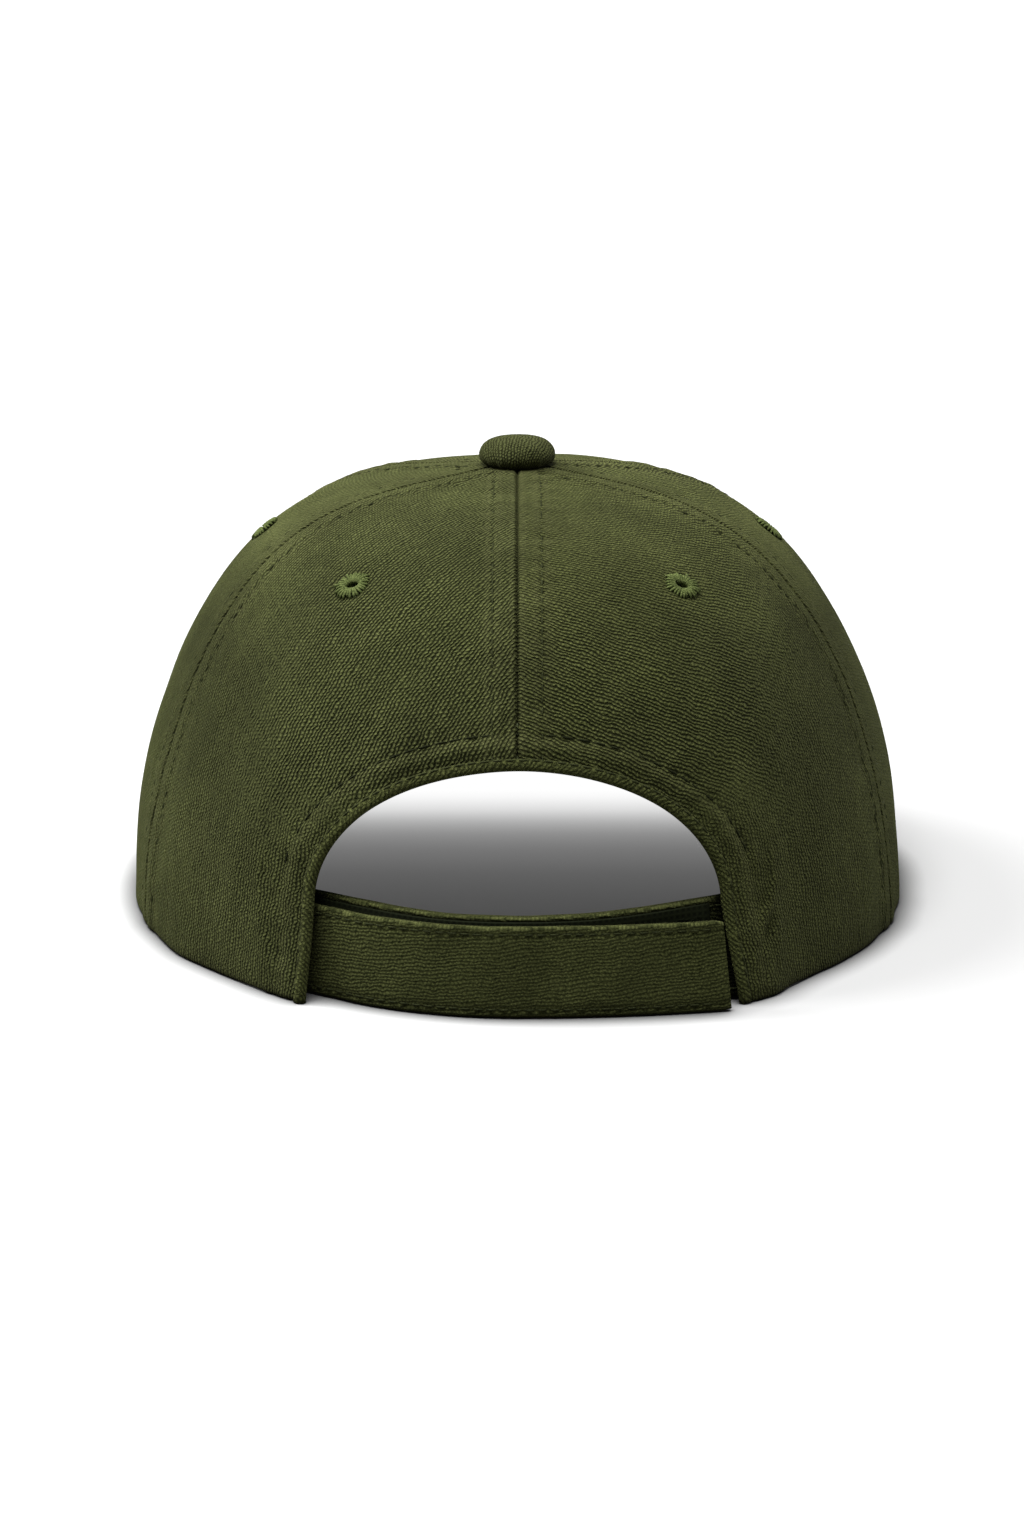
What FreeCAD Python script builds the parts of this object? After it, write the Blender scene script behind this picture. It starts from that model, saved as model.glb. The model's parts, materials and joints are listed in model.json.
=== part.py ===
"""Six-panel baseball cap: sewn crown, curved peak, covered button, six eyelets, hook-and-loop back strap.

Frame: millimetres, +Z up. The origin is the centre of the head opening, on the plane that the rear hem
rests on. +Y points to the back of the head (the strap), -Y to the peak, +X to the wearer's left.
The crown is described by a polar angle round the button axis and by a share from hem (0) to top (1).
A layer of the crown is named by its inset: the distance inwards from the outer face of the cloth.
"""
import FreeCAD, Part
import math
import os

Vector = FreeCAD.Vector
UP = Vector(0, 0, 1)

# --- driving dimensions -------------------------------------------------------------------------
HALF_WIDTH = 89.0          # crown at the hem, side to side
REAR_DEPTH = 106.0         # button axis to the rear hem
FRONT_DEPTH = 95.0         # button axis to the front hem
CROWN_HEIGHT = 95.6        # without the rise at its tip
TIP_RISE = 2.4             # the crown is drawn up towards the button
TIP_SPREAD = 18.2
CROWN_TOP = CROWN_HEIGHT + TIP_RISE
HEM_SQUARENESS = 2.1       # 2 is an ellipse, more is squarer
TOP_SQUARENESS = 3.38      # how flat the top of the crown is
WALL_SQUARENESS = 1.76     # how upright the wall of the crown is
TOP_HOLE_RADIUS = 2.2      # gap between the panel tips, where the button's tack passes

CLOTH = 0.8                # cotton twill, one layer with its turnings
LINING_GAP = 0.1           # clearance between layers
BUCKRAM = 0.6              # stiff gauze behind the front panels
FACING = 0.45              # cloth behind the edge of the opening
SEAM_HALF_GAP_DEG = 0.05   # clearance between neighbouring panels, as an angle

SEAM_ANGLES = {            # polar angle of each seam, counterclockwise from +X
    "front": -90.0,
    "front_left": -33.0,
    "rear_left": 25.0,
    "rear": 90.0,
    "rear_right": 155.0,
    "front_right": 213.0,
}

ARCH_HALF_WIDTH = 43.6     # rear opening, at its spring line
ARCH_SPRING = 21.0         # height where the upright legs turn into the arch
ARCH_RISE = 30.1           # spring line to the crest
ARCH_LEG_FLARE = 2.2       # how much each leg spreads by the hem
BINDING_CLOTH = 0.55       # bias cloth rolled over the edge of the opening
BINDING_WIDTH = 3.0
FACING_WIDTH = 9.5         # cloth sewn behind the edge of the opening

PEAK_HALF_WIDTH = 88.0
PEAK_WIDEST_Y = -84.0
PEAK_FRONT_Y = -163.0
PEAK_SQUARENESS = 2.6      # of its front outline
PEAK_CORNER_DEG = 31.0     # the peak ends this far round from the sides
PEAK_ARCH = 16.0           # rise of the peak's middle over its edges
PEAK_ARCH_SPAN = 186.0     # width of the half wave that the peak is bent to
PEAK_EDGE_TOP = 2.26       # top face, where the half wave would reach zero
PEAK_DROOP = 0.04          # fall per millimetre forwards
PEAK_BOARD = 1.8
PEAK_RIM = 1.0             # cloth round the edge of the board

SWEATBAND_HEIGHT = 32.0
SWEATBAND_INSET = 2.5
SWEATBAND_THICKNESS = 1.7
SWEATBAND_CLOTH = 0.6
SWEATBAND_END_X = 61.0

TAPE_WIDTH = 14.0
TAPE_THICKNESS = 0.5
TAPE_TOP_RADIUS = 16.0     # the tapes stop this far from the button axis

EYELET_SHARE = 0.488        # height of the eyelets, as a share from hem to top
EYELET_RADIUS = 4.0
EYELET_HOLE_RADIUS = 1.4
EYELET_PUNCH_RADIUS = 2.1  # hole punched in the cloth

BUTTON_RADIUS = 8.35
BUTTON_TOP = 6.3           # height of the button over the crown
TACK_RADIUS = 1.2

STRAP_CREST_Y = 105.6      # outer face of the closed strap, in the middle
STRAP_BEND = 0.0088        # parabola of the strap, 1/mm
STRAP_FREE_BEND = 0.0025   # the free end stands off, so it is straighter
STRAP_HEIGHT = 20.0
STRAP_CLOTH = 1.9
HOOK_TAPE = 1.0
STRAP_HINGE_X = 40.0
STRAP_FREE_X = -45.0
STRAP_SWING_DEG = 110.0

INNER_STRAP_CREST_Y = 98.3  # inner face
INNER_STRAP_ROOT_BEND = 0.0070
INNER_STRAP_BOTTOM = 0.6
INNER_STRAP_CLOTH = 2.0
LOOP_TAPE = 0.8
INNER_STRAP_HINGE_X = -40.0
INNER_STRAP_FREE_X = 45.0
INNER_STRAP_SWING_DEG = 75.0
ANCHOR_X = 52.0            # the sewn end of each strap reaches this far round
HINGE_CLEARANCE = 0.06


# --- the crown surface --------------------------------------------------------------------------
def hem_radius(angle):
    """Distance from the button axis to the hem, at a polar angle in radians."""
    depth = REAR_DEPTH if math.sin(angle) > 0 else FRONT_DEPTH
    across = abs(math.cos(angle) / HALF_WIDTH) ** HEM_SQUARENESS
    along = abs(math.sin(angle) / depth) ** HEM_SQUARENESS
    return (across + along) ** (-1 / HEM_SQUARENESS)


def profile_point(angle, share, inset):
    """Radius and height of a point of the crown, moved inwards by inset in its own upright plane."""
    if share <= 0:
        return hem_radius(angle) - inset, 0.0
    turn = math.pi / 2 * (1 - (1 - share) ** (TOP_SQUARENESS / 2))

    def outer(value):
        radius = hem_radius(angle) * max(math.cos(value), 1e-9) ** (2 / TOP_SQUARENESS)
        height = CROWN_HEIGHT * max(math.sin(value), 0.0) ** (2 / WALL_SQUARENESS)
        return radius, height + TIP_RISE * math.exp(-(radius / TIP_SPREAD) ** 2)

    step = 1e-4
    low = outer(max(turn - step, 1e-5))
    high = outer(min(turn + step, math.pi / 2 - 1e-5))
    length = math.hypot(high[0] - low[0], high[1] - low[1])
    out_radius = (high[1] - low[1]) / length
    out_height = (low[0] - high[0]) / length
    radius, height = outer(turn)
    return radius - inset * out_radius, height - inset * out_height


def crown_point(angle, share, inset):
    radius, height = profile_point(angle, share, inset)
    return Vector(radius * math.cos(angle), radius * math.sin(angle), height)


def share_where(test, low=0.0, high=1.0):
    """The share at which test turns true on the way up, by halving."""
    for _ in range(40):
        middle = (low + high) / 2
        if test(middle):
            high = middle
        else:
            low = middle
    return high


def share_at_height(angle, height, inset=0.0):
    if height <= 0:
        return 0.0
    return share_where(lambda share: profile_point(angle, share, inset)[1] >= height)


def share_at_radius(angle, radius, inset=0.0):
    return share_where(lambda share: profile_point(angle, share, inset)[0] <= radius)


def peak_top_height(x, y):
    wave = math.cos(math.pi * x / PEAK_ARCH_SPAN)
    return PEAK_EDGE_TOP + PEAK_ARCH * wave + PEAK_DROOP * (y + FRONT_DEPTH)


def peak_thickness():
    return PEAK_BOARD + 2 * CLOTH + LINING_GAP


def hem_height(angle):
    """The hem is flat at the back and sides, and rises at the front to meet the underside of the peak."""
    radius = hem_radius(angle)
    x, y = radius * math.cos(angle), radius * math.sin(angle)
    rise_start, rise_length = 10.0, 58.0
    rise = min(max((rise_start - y) / rise_length, 0.0), 1.0)
    rise = rise * rise * (3 - 2 * rise)
    return rise * max(peak_top_height(x, y) - peak_thickness(), 0.0)


# --- solids from grids, rails and profiles ------------------------------------------------------
def solid_from_faces(faces):
    shell = Part.makeShell(faces)
    shell.sewShape()
    solid = Part.makeSolid(shell)
    if solid.Volume < 0:
        solid.reverse()
    return solid


def surface_through(grid):
    surface = Part.BSplineSurface()
    surface.interpolate(grid)
    return surface


def border_edges(surface):
    """First and last edge along each direction of a surface."""
    u_low, u_high, v_low, v_high = surface.bounds()
    return [
        surface.uIso(u_low).toShape(),
        surface.uIso(u_high).toShape(),
        surface.vIso(v_low).toShape(),
        surface.vIso(v_high).toShape(),
    ]


def edge_face(outer_edge, inner_edge):
    """Face across the thickness of the cloth: a true plane where both edges lie level on the hem plane."""
    ruled = Part.makeRuledSurface(outer_edge, inner_edge)
    heights = [pole.z for edge in (outer_edge, inner_edge) for pole in edge.Curve.getPoles()]
    if max(abs(height) for height in heights) > 1e-9:
        return ruled
    return Part.Face(Part.Wire(Part.__sortEdges__(ruled.Edges)))


def sheet_solid(outer_grid, inner_grid):
    """Solid cloth between two grids of points of the same size."""
    outer = surface_through(outer_grid)
    inner = surface_through(inner_grid)
    faces = [outer.toShape(), inner.toShape()]
    for outer_edge, inner_edge in zip(border_edges(outer), border_edges(inner)):
        faces.append(edge_face(outer_edge, inner_edge))
    return solid_from_faces(faces)


def crown_sheet(start_deg, end_deg, inset, thickness, low_share, high_share, columns=13, rows=13):
    """Layer of the crown between two polar angles; low_share and high_share are functions of the angle."""
    def grid(layer_inset):
        points = []
        for column in range(columns):
            angle = math.radians(start_deg + (end_deg - start_deg) * column / (columns - 1))
            low, high = low_share(angle), high_share(angle)
            shares = [low + (high - low) * row / (rows - 1) for row in range(rows)]
            points.append([crown_point(angle, share, layer_inset) for share in shares])
        return points

    return sheet_solid(grid(inset), grid(inset + thickness))


def swept_solid(sections):
    """Solid through a row of closed polygons of the same number of corners, with flat ends."""
    corners = len(sections[0])
    rails = []
    for corner in range(corners):
        rail = Part.BSplineCurve()
        rail.interpolate([section[corner] for section in sections])
        rails.append(rail.toShape())
    faces = []
    for corner in range(corners):
        faces.append(Part.makeRuledSurface(rails[corner], rails[(corner + 1) % corners]))
    for section in (sections[0], sections[-1]):
        faces.append(Part.Face(Part.makePolygon(section + section[:1])))
    return solid_from_faces(faces)


def revolved(profile):
    """Solid of revolution about Z from (radius, height) corners."""
    points = [Vector(radius, 0, height) for radius, height in profile]
    face = Part.Face(Part.makePolygon(points + points[:1]))
    return face.revolve(Vector(0, 0, 0), UP, 360)


# --- crown --------------------------------------------------------------------------------------
def hem_share(angle):
    return share_at_height(angle, hem_height(angle))


def tip_share(angle):
    return share_at_radius(angle, TOP_HOLE_RADIUS)


def arch_prism(margin, depth_low=20.0, depth_high=130.0):
    """The rear opening as a prism along Y, grown by margin; its legs run on below the hem."""
    half = ARCH_HALF_WIDTH + margin
    rise = ARCH_RISE + margin
    foot_half = half + ARCH_LEG_FLARE * 2
    foot_z = -ARCH_SPRING
    left_foot = Vector(-foot_half, depth_low, foot_z)
    right_foot = Vector(foot_half, depth_low, foot_z)
    left_spring = Vector(-half, depth_low, ARCH_SPRING)
    right_spring = Vector(half, depth_low, ARCH_SPRING)
    crest = Part.Ellipse(Vector(0, depth_low, ARCH_SPRING), half, rise)
    crest.Axis = Vector(0, -1, 0)
    crest.XAxis = Vector(1, 0, 0)
    arc = Part.Arc(crest, 0, math.pi).toShape()
    legs = Part.makePolygon([left_spring, left_foot, right_foot, right_spring])
    outline = Part.Wire(Part.__sortEdges__([arc] + legs.Edges))
    return Part.Face(outline).extrude(Vector(0, depth_high - depth_low, 0))


def eyelet_frame(angle_deg):
    """Position and outward direction of the eyelet in the middle of a panel."""
    angle = math.radians(angle_deg)
    place = crown_point(angle, EYELET_SHARE, 0)
    inside = crown_point(angle, EYELET_SHARE, 1.0)
    return place, place - inside


def eyelet_drill(angle_deg):
    place, outward = eyelet_frame(angle_deg)
    reach = 6.0
    return Part.makeCylinder(EYELET_PUNCH_RADIUS, 2 * reach, place - outward * reach, outward)


def panel_middles():
    """Polar angle of the middle of each panel, by name."""
    seams = SEAM_ANGLES
    return {
        "front_left": (seams["front"] + seams["front_left"]) / 2,
        "side_left": (seams["front_left"] + seams["rear_left"]) / 2,
        "rear_left": (seams["rear_left"] + seams["rear"]) / 2,
        "rear_right": (seams["rear"] + seams["rear_right"]) / 2,
        "side_right": (seams["rear_right"] + seams["front_right"]) / 2,
        "front_right": (seams["front_right"] + seams["front"] + 360) / 2,
    }


def panel(start_deg, end_deg, middle_deg):
    sheet = crown_sheet(
        start_deg + SEAM_HALF_GAP_DEG,
        end_deg - SEAM_HALF_GAP_DEG,
        0.0,
        CLOTH,
        hem_share,
        tip_share,
    )
    return sheet.cut(eyelet_drill(middle_deg))


def crown_panels():
    seams = SEAM_ANGLES
    middles = panel_middles()
    spans = {
        "front_left": (seams["front"], seams["front_left"]),
        "side_left": (seams["front_left"], seams["rear_left"]),
        "rear_left": (seams["rear_left"], seams["rear"]),
        "rear_right": (seams["rear"], seams["rear_right"]),
        "side_right": (seams["rear_right"], seams["front_right"]),
        "front_right": (seams["front_right"], seams["front"] + 360),
    }
    opening = arch_prism(BINDING_CLOTH + LINING_GAP)
    panels = {}
    for name, (start, end) in spans.items():
        shape = panel(start, end, middles[name])
        if name.startswith("rear"):
            shape = shape.cut(opening)
        panels[name + "_panel"] = shape
    return panels


def buckram(start_deg, end_deg, middle_deg):
    """Stiff gauze behind a front panel, stopping short of the hem seam and of the button."""
    hem_margin, top_radius, seam_margin_deg = 0.02, 18.0, 0.2
    sheet = crown_sheet(
        start_deg + seam_margin_deg,
        end_deg - seam_margin_deg,
        CLOTH + LINING_GAP,
        BUCKRAM,
        lambda angle: hem_share(angle) + hem_margin,
        lambda angle: share_at_radius(angle, top_radius),
    )
    return sheet.cut(eyelet_drill(middle_deg))


def tape_inset():
    return CLOTH + BUCKRAM + 2.5 * LINING_GAP


def seam_tape(seam_deg, low_share):
    """Folded tape over the raw edges of one seam, from just above the hem to near the button."""
    angle0 = math.radians(seam_deg)
    rows = 13
    low = low_share
    high = share_at_radius(angle0, TAPE_TOP_RADIUS)

    def grid(inset):
        points = []
        for side in (-1, 0, 1):
            line = []
            for row in range(rows):
                share = low + (high - low) * row / (rows - 1)
                radius = profile_point(angle0, share, 0)[0]
                angle = angle0 + side * math.atan(TAPE_WIDTH / 2 / radius)
                line.append(crown_point(angle, share, inset))
            points.append(line)
        return points

    return sheet_solid(grid(tape_inset()), grid(tape_inset() + TAPE_THICKNESS))


def seam_tapes():
    hem_margin = 0.01
    above_arch = ARCH_SPRING + ARCH_RISE + FACING_WIDTH + 1.0
    tapes = {}
    for name, seam_deg in SEAM_ANGLES.items():
        angle = math.radians(seam_deg)
        low = hem_share(angle) + hem_margin
        if name == "rear":
            low = share_at_height(angle, above_arch)
        tapes[name + "_seam_tape"] = seam_tape(seam_deg, low)
    return tapes


def sweatband_angles():
    """Polar angles at the two ends of the sweatband, going round by the front."""
    end = math.acos(0.5)
    for _ in range(30):
        end = math.acos(SWEATBAND_END_X / hem_radius(end))
    return end, -math.pi - end


def sweatband_section(angle, insets, bottom, top):
    """Corners of a slice across the band: bottom and top are heights over the hem."""
    hem = hem_height(angle)
    low = share_at_height(angle, hem + bottom)
    high = share_at_height(angle, hem + top)
    steps = 6
    shares = [low + (high - low) * step / steps for step in range(steps + 1)]
    near, far = insets
    near_side = [crown_point(angle, share, near) for share in shares]
    far_side = [crown_point(angle, share, far) for share in reversed(shares)]
    return near_side + far_side


def band_solid(insets, bottom, top, trim_deg=0.0):
    start, end = sweatband_angles()
    start -= math.radians(trim_deg)
    end += math.radians(trim_deg)
    stations = 41
    sections = []
    for station in range(stations):
        angle = start + (end - start) * station / (stations - 1)
        sections.append(sweatband_section(angle, insets, bottom, top))
    return swept_solid(sections)


def sweatband():
    """Cloth folded over a soft core; the fold is the top edge and the raw edges are at the hem."""
    outer_inset = SWEATBAND_INSET
    inner_inset = SWEATBAND_INSET + SWEATBAND_THICKNESS
    hem_margin, core_top = 0.3, SWEATBAND_HEIGHT - 1.5
    slack = LINING_GAP / 2
    cover = band_solid((outer_inset, inner_inset), hem_margin, SWEATBAND_HEIGHT)
    pocket_insets = (outer_inset + SWEATBAND_CLOTH, inner_inset - SWEATBAND_CLOTH)
    pocket = band_solid(pocket_insets, -1.0, core_top, trim_deg=-0.5)
    core_insets = (pocket_insets[0] + slack, pocket_insets[1] - slack)
    core = band_solid(core_insets, 1.0, core_top - slack, trim_deg=0.1)
    return {"sweatband_cover": cover.cut(pocket), "sweatband_core": core}


def rear_layer(inset, thickness, reach_deg=38.0, top_height=75.0):
    """Layer of the crown behind and round the opening."""
    return crown_sheet(
        90.0 - reach_deg,
        90.0 + reach_deg,
        inset,
        thickness,
        lambda angle: 0.0,
        lambda angle: share_at_height(angle, top_height),
        columns=15,
    )


def opening_edge():
    """Binding rolled over the edge of the opening, and the facing sewn behind it."""
    facing_inset = CLOTH + LINING_GAP
    binding_outer = -(BINDING_CLOTH + LINING_GAP / 2)
    inner_leg = facing_inset + FACING + LINING_GAP
    binding_depth = inner_leg + BINDING_CLOTH - binding_outer
    ring = arch_prism(BINDING_WIDTH).cut(arch_prism(0.0))
    block = rear_layer(binding_outer, binding_depth).common(ring)
    room_inset = -LINING_GAP / 2
    room = rear_layer(room_inset, inner_leg - room_inset, reach_deg=40.0, top_height=76.0)
    room = room.cut(arch_prism(BINDING_CLOTH))
    below_hem = Part.makeBox(240, 240, 10, Vector(-120, 0, -10))
    binding = block.cut(room).cut(below_hem)
    facing_ring = arch_prism(FACING_WIDTH).cut(arch_prism(BINDING_CLOTH + LINING_GAP))
    facing = rear_layer(facing_inset, FACING).common(facing_ring)
    return {"opening_binding": binding, "opening_facing": facing}


def eyelet(angle_deg, lining):
    """Stitched ring through the cloth: a barrel with a flange on each face."""
    flange, bow = 0.45, 0.36
    place, outward = eyelet_frame(angle_deg)
    depth = CLOTH + lining + bow
    barrel = Part.makeCylinder(EYELET_PUNCH_RADIUS - 0.1, depth + bow)
    barrel.translate(Vector(0, 0, -depth))
    front = Part.makeCylinder(EYELET_RADIUS, flange, Vector(0, 0, bow))
    front = front.makeFillet(flange * 0.6, [front.Edges[0]])
    back = Part.makeCylinder(EYELET_RADIUS - 0.6, flange, Vector(0, 0, -depth - flange))
    ring = barrel.fuse([front, back])
    hole = Part.makeCylinder(EYELET_HOLE_RADIUS, 4 * depth, Vector(0, 0, -2 * depth))
    ring = ring.cut(hole)
    ring.Placement = FreeCAD.Placement(place, FreeCAD.Rotation(UP, outward))
    return ring


def eyelets():
    buckram_depth = BUCKRAM + LINING_GAP
    rings = []
    for name, middle in panel_middles().items():
        lining = buckram_depth if name.startswith("front") else 0.0
        rings.append(eyelet(middle, lining))
    return Part.makeCompound(rings)


# --- button -------------------------------------------------------------------------------------
def dome_profile(radius, low, top, points=9):
    """Half outline of a low dome, from its rim at low to the axis at top."""
    outline = []
    for index in range(points):
        turn = math.pi / 2 * index / (points - 1)
        outline.append((radius * math.cos(turn) ** 0.8, low + (top - low) * math.sin(turn) ** 0.9))
    outline[-1] = (0.0, top)
    return outline


def button():
    base = CROWN_TOP - 0.1
    rim = base + 1.6
    seat_radius, washer_radius = 5.6, 6.0
    fall_to_washer_edge = 0.3
    cloth, shell = 0.6, 0.5
    gap = LINING_GAP
    cover_outer = [(BUTTON_RADIUS - 0.8, base)] + dome_profile(
        BUTTON_RADIUS, rim, CROWN_TOP + BUTTON_TOP
    )
    cover_inner = dome_profile(BUTTON_RADIUS - cloth, rim, CROWN_TOP + BUTTON_TOP - cloth)
    turned_in = [(BUTTON_RADIUS - cloth, base + cloth), (seat_radius, base + cloth), (seat_radius, base)]
    cover = revolved(cover_outer + cover_inner[::-1] + turned_in)
    shell_radius = BUTTON_RADIUS - cloth - gap
    shell_top = CROWN_TOP + BUTTON_TOP - cloth - gap
    shell_outer = dome_profile(shell_radius, rim, shell_top)
    shell_inner = dome_profile(shell_radius - shell, rim, shell_top - shell)
    foot = base + cloth + gap
    shell_solid = revolved(
        [(shell_radius, foot)] + shell_outer + shell_inner[::-1] + [(shell_radius - shell, foot)]
    )
    plate = 0.8
    washer_top = CROWN_TOP - CLOTH - 2 * LINING_GAP - fall_to_washer_edge
    tack = revolved([
        (0.0, foot + plate),
        (5.2, foot + plate),
        (5.2, foot),
        (TACK_RADIUS, foot),
        (TACK_RADIUS, washer_top - plate - gap),
        (2.4, washer_top - plate - gap),
        (2.0, washer_top - 2 * plate),
        (0.0, washer_top - 2 * plate),
    ])
    washer = revolved([
        (TACK_RADIUS + gap, washer_top),
        (washer_radius, washer_top),
        (washer_radius, washer_top - plate),
        (TACK_RADIUS + gap, washer_top - plate),
    ])
    return {
        "button_cover": cover,
        "button_shell": shell_solid,
        "button_tack": tack,
        "button_washer": washer,
    }


# --- peak ---------------------------------------------------------------------------------------
def peak_slab(drop_top, drop_bottom):
    """Bent slab between two depths under the peak's top face, longer and wider than the peak."""
    start_y, length = -20.0, 170.0
    half = PEAK_HALF_WIDTH + 2.0
    points = 15

    def edge(drop):
        curve = Part.BSplineCurve()
        xs = [-half + 2 * half * index / (points - 1) for index in range(points)]
        curve.interpolate([Vector(x, start_y, peak_top_height(x, start_y) - drop) for x in xs])
        return curve.toShape()

    top, bottom = edge(drop_top), edge(drop_bottom)
    face = Part.makeRuledSurface(top, bottom)
    return face.extrude(Vector(0, -length, -length * PEAK_DROOP))


def peak_front_half(margin, crown_gap, corner_deg):
    """Points of the left half of the peak's outer edge, from the corner at the crown to the front."""
    corner_angle = -math.radians(corner_deg)
    corner_radius = hem_radius(corner_angle) + crown_gap
    corner_x = corner_radius * math.cos(corner_angle) + 0.3
    corner_y = corner_radius * math.sin(corner_angle) - 1.5 * margin
    widest = PEAK_HALF_WIDTH - margin
    reach = PEAK_WIDEST_Y - PEAK_FRONT_Y - margin
    points = []
    side_points, front_points = 4, 9
    for index in range(side_points):
        back = 1 - index / side_points
        x = widest - (widest - corner_x) * back ** 2
        points.append((x, PEAK_WIDEST_Y + (corner_y - PEAK_WIDEST_Y) * back))
    for index in range(front_points):
        turn = math.pi / 2 * index / front_points
        x = widest * math.cos(turn) ** (2 / PEAK_SQUARENESS)
        points.append((x, PEAK_WIDEST_Y - reach * math.sin(turn) ** (2 / PEAK_SQUARENESS)))
    return points


def peak_outline(margin, crown_gap, corner_deg=PEAK_CORNER_DEG):
    """Crescent of the peak, seen from above and drawn in by margin, as a tall prism."""
    corner_angle = -math.radians(corner_deg)
    half = peak_front_half(margin, crown_gap, corner_deg)
    outer_points = half + [(0.0, PEAK_FRONT_Y + margin)] + [(-x, y) for x, y in reversed(half)]
    outer = Part.BSplineCurve()
    outer.interpolate([Vector(x, y, 0) for x, y in outer_points])
    steps = 17
    inner_points = []
    for index in range(steps):
        share = index / (steps - 1)
        angle = -math.pi - corner_angle + share * (math.pi + 2 * corner_angle)
        height = hem_height(angle) + peak_thickness() / 2
        radius = profile_point(angle, share_at_height(angle, height), -crown_gap)[0]
        inner_points.append(Vector(radius * math.cos(angle), radius * math.sin(angle), 0))
    inner = Part.BSplineCurve()
    inner.interpolate(inner_points)
    ends = [
        Part.makeLine(Vector(*half[0], 0), inner_points[-1]),
        Part.makeLine(Vector(-half[0][0], half[0][1], 0), inner_points[0]),
    ]
    outline = Part.Wire(Part.__sortEdges__([outer.toShape(), inner.toShape()] + ends))
    return Part.Face(outline).extrude(Vector(0, 0, 60)).translate(Vector(0, 0, -20))


def peak():
    """Board between two covers; the top cover's rim closes the edge round the board."""
    gap = LINING_GAP / 2
    whole = peak_outline(0.0, 0.25)
    board_outline = peak_outline(PEAK_RIM + 0.3, 0.6, PEAK_CORNER_DEG + 3)
    board_room = peak_outline(PEAK_RIM, 0.0)
    board_top = CLOTH + gap
    board_bottom = board_top + PEAK_BOARD
    under_top = board_bottom + gap
    bottom = peak_thickness()
    board = peak_slab(board_top, board_bottom).common(board_outline)
    top_cover = peak_slab(0.0, under_top - gap / 2).common(whole)
    top_cover = top_cover.cut(peak_slab(CLOTH, bottom + 1).common(board_room))
    under_cover = peak_slab(under_top, bottom).common(whole)
    return {"peak_board": board, "peak_top_cover": top_cover, "peak_under_cover": under_cover}


# --- back strap ---------------------------------------------------------------------------------
def strap_line(x):
    """Outer face of the outer strap, seen from above."""
    bend = STRAP_BEND if x > 0 else STRAP_FREE_BEND
    return Vector(x, STRAP_CREST_Y - bend * x * x, 0)


def inner_strap_line(x):
    """Inner face of the inner strap, seen from above."""
    bend = STRAP_BEND if x > 0 else INNER_STRAP_ROOT_BEND
    return Vector(x, INNER_STRAP_CREST_Y - bend * x * x, 0)


def line_frame(line, x):
    """Point, direction towards +X and direction out of the head, on one of the strap lines."""
    step = 0.01
    along = line(x + step) - line(x - step)
    along.normalize()
    return line(x), along, Vector(-along.y, along.x, 0)


def strip(line, start_x, end_x, near, far, bottom, top, points=13):
    """Upright band along a strap line, between two distances out from it."""
    edges = []
    ends = []
    for offset in (near, far):
        places = []
        for index in range(points):
            x = start_x + (end_x - start_x) * index / (points - 1)
            place, _, outward = line_frame(line, x)
            places.append(place + outward * offset + Vector(0, 0, bottom))
        curve = Part.BSplineCurve()
        curve.interpolate(places)
        edges.append(curve.toShape())
        ends.append((places[0], places[-1]))
    caps = [Part.makeLine(ends[0][side], ends[1][side]) for side in (0, 1)]
    outline = Part.Wire(Part.__sortEdges__(edges + caps))
    return Part.Face(outline).extrude(Vector(0, 0, top - bottom))


def hinge_axis(line, x, middle_offset):
    place, along, outward = line_frame(line, x)
    return place + outward * middle_offset, along


def swing_room(axis, direction, thickness, turn_deg, length=9.0):
    """Space that the root of a strap sweeps when it swings by turn_deg, to keep its anchor clear."""
    half = thickness / 2 + HINGE_CLEARANCE
    side = -1.0 if turn_deg < 0 else 1.0
    corners = [(-half, side * half), (length, side * half), (length, -side * length), (-half, -side * length)]
    points = [Vector(x, y, -5) for x, y in corners]
    room = Part.Face(Part.makePolygon(points + points[:1])).extrude(Vector(0, 0, 40))
    heading = math.degrees(math.atan2(direction.y, direction.x)) + turn_deg
    room.rotate(Vector(0, 0, 0), UP, heading)
    room.translate(axis)
    cylinder = Part.makeCylinder(half, 40, axis - UP * 5)
    return room.fuse(cylinder)


def outer_strap():
    near, far = -STRAP_CLOTH, 0.0
    bottom, top = 0.0, STRAP_HEIGHT
    axis, along = hinge_axis(strap_line, STRAP_HINGE_X, -STRAP_CLOTH / 2)
    band = strip(strap_line, STRAP_FREE_X, STRAP_HINGE_X, near, far, bottom, top)
    root = Part.makeCylinder(STRAP_CLOTH / 2, top - bottom, axis)
    band = band.fuse(root).removeSplitter()
    anchor = strip(strap_line, STRAP_HINGE_X, ANCHOR_X, near, far, bottom, top, points=7)
    anchor = anchor.cut(swing_room(axis, along * -1, STRAP_CLOTH, -STRAP_SWING_DEG))
    tape_far = near - LINING_GAP / 2
    tape = strip(strap_line, STRAP_FREE_X + 6, 17.0, tape_far - HOOK_TAPE, tape_far, 2.0, top - 2.0)
    return {"outer_strap": band, "outer_strap_anchor": anchor, "hook_tape": tape}


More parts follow.
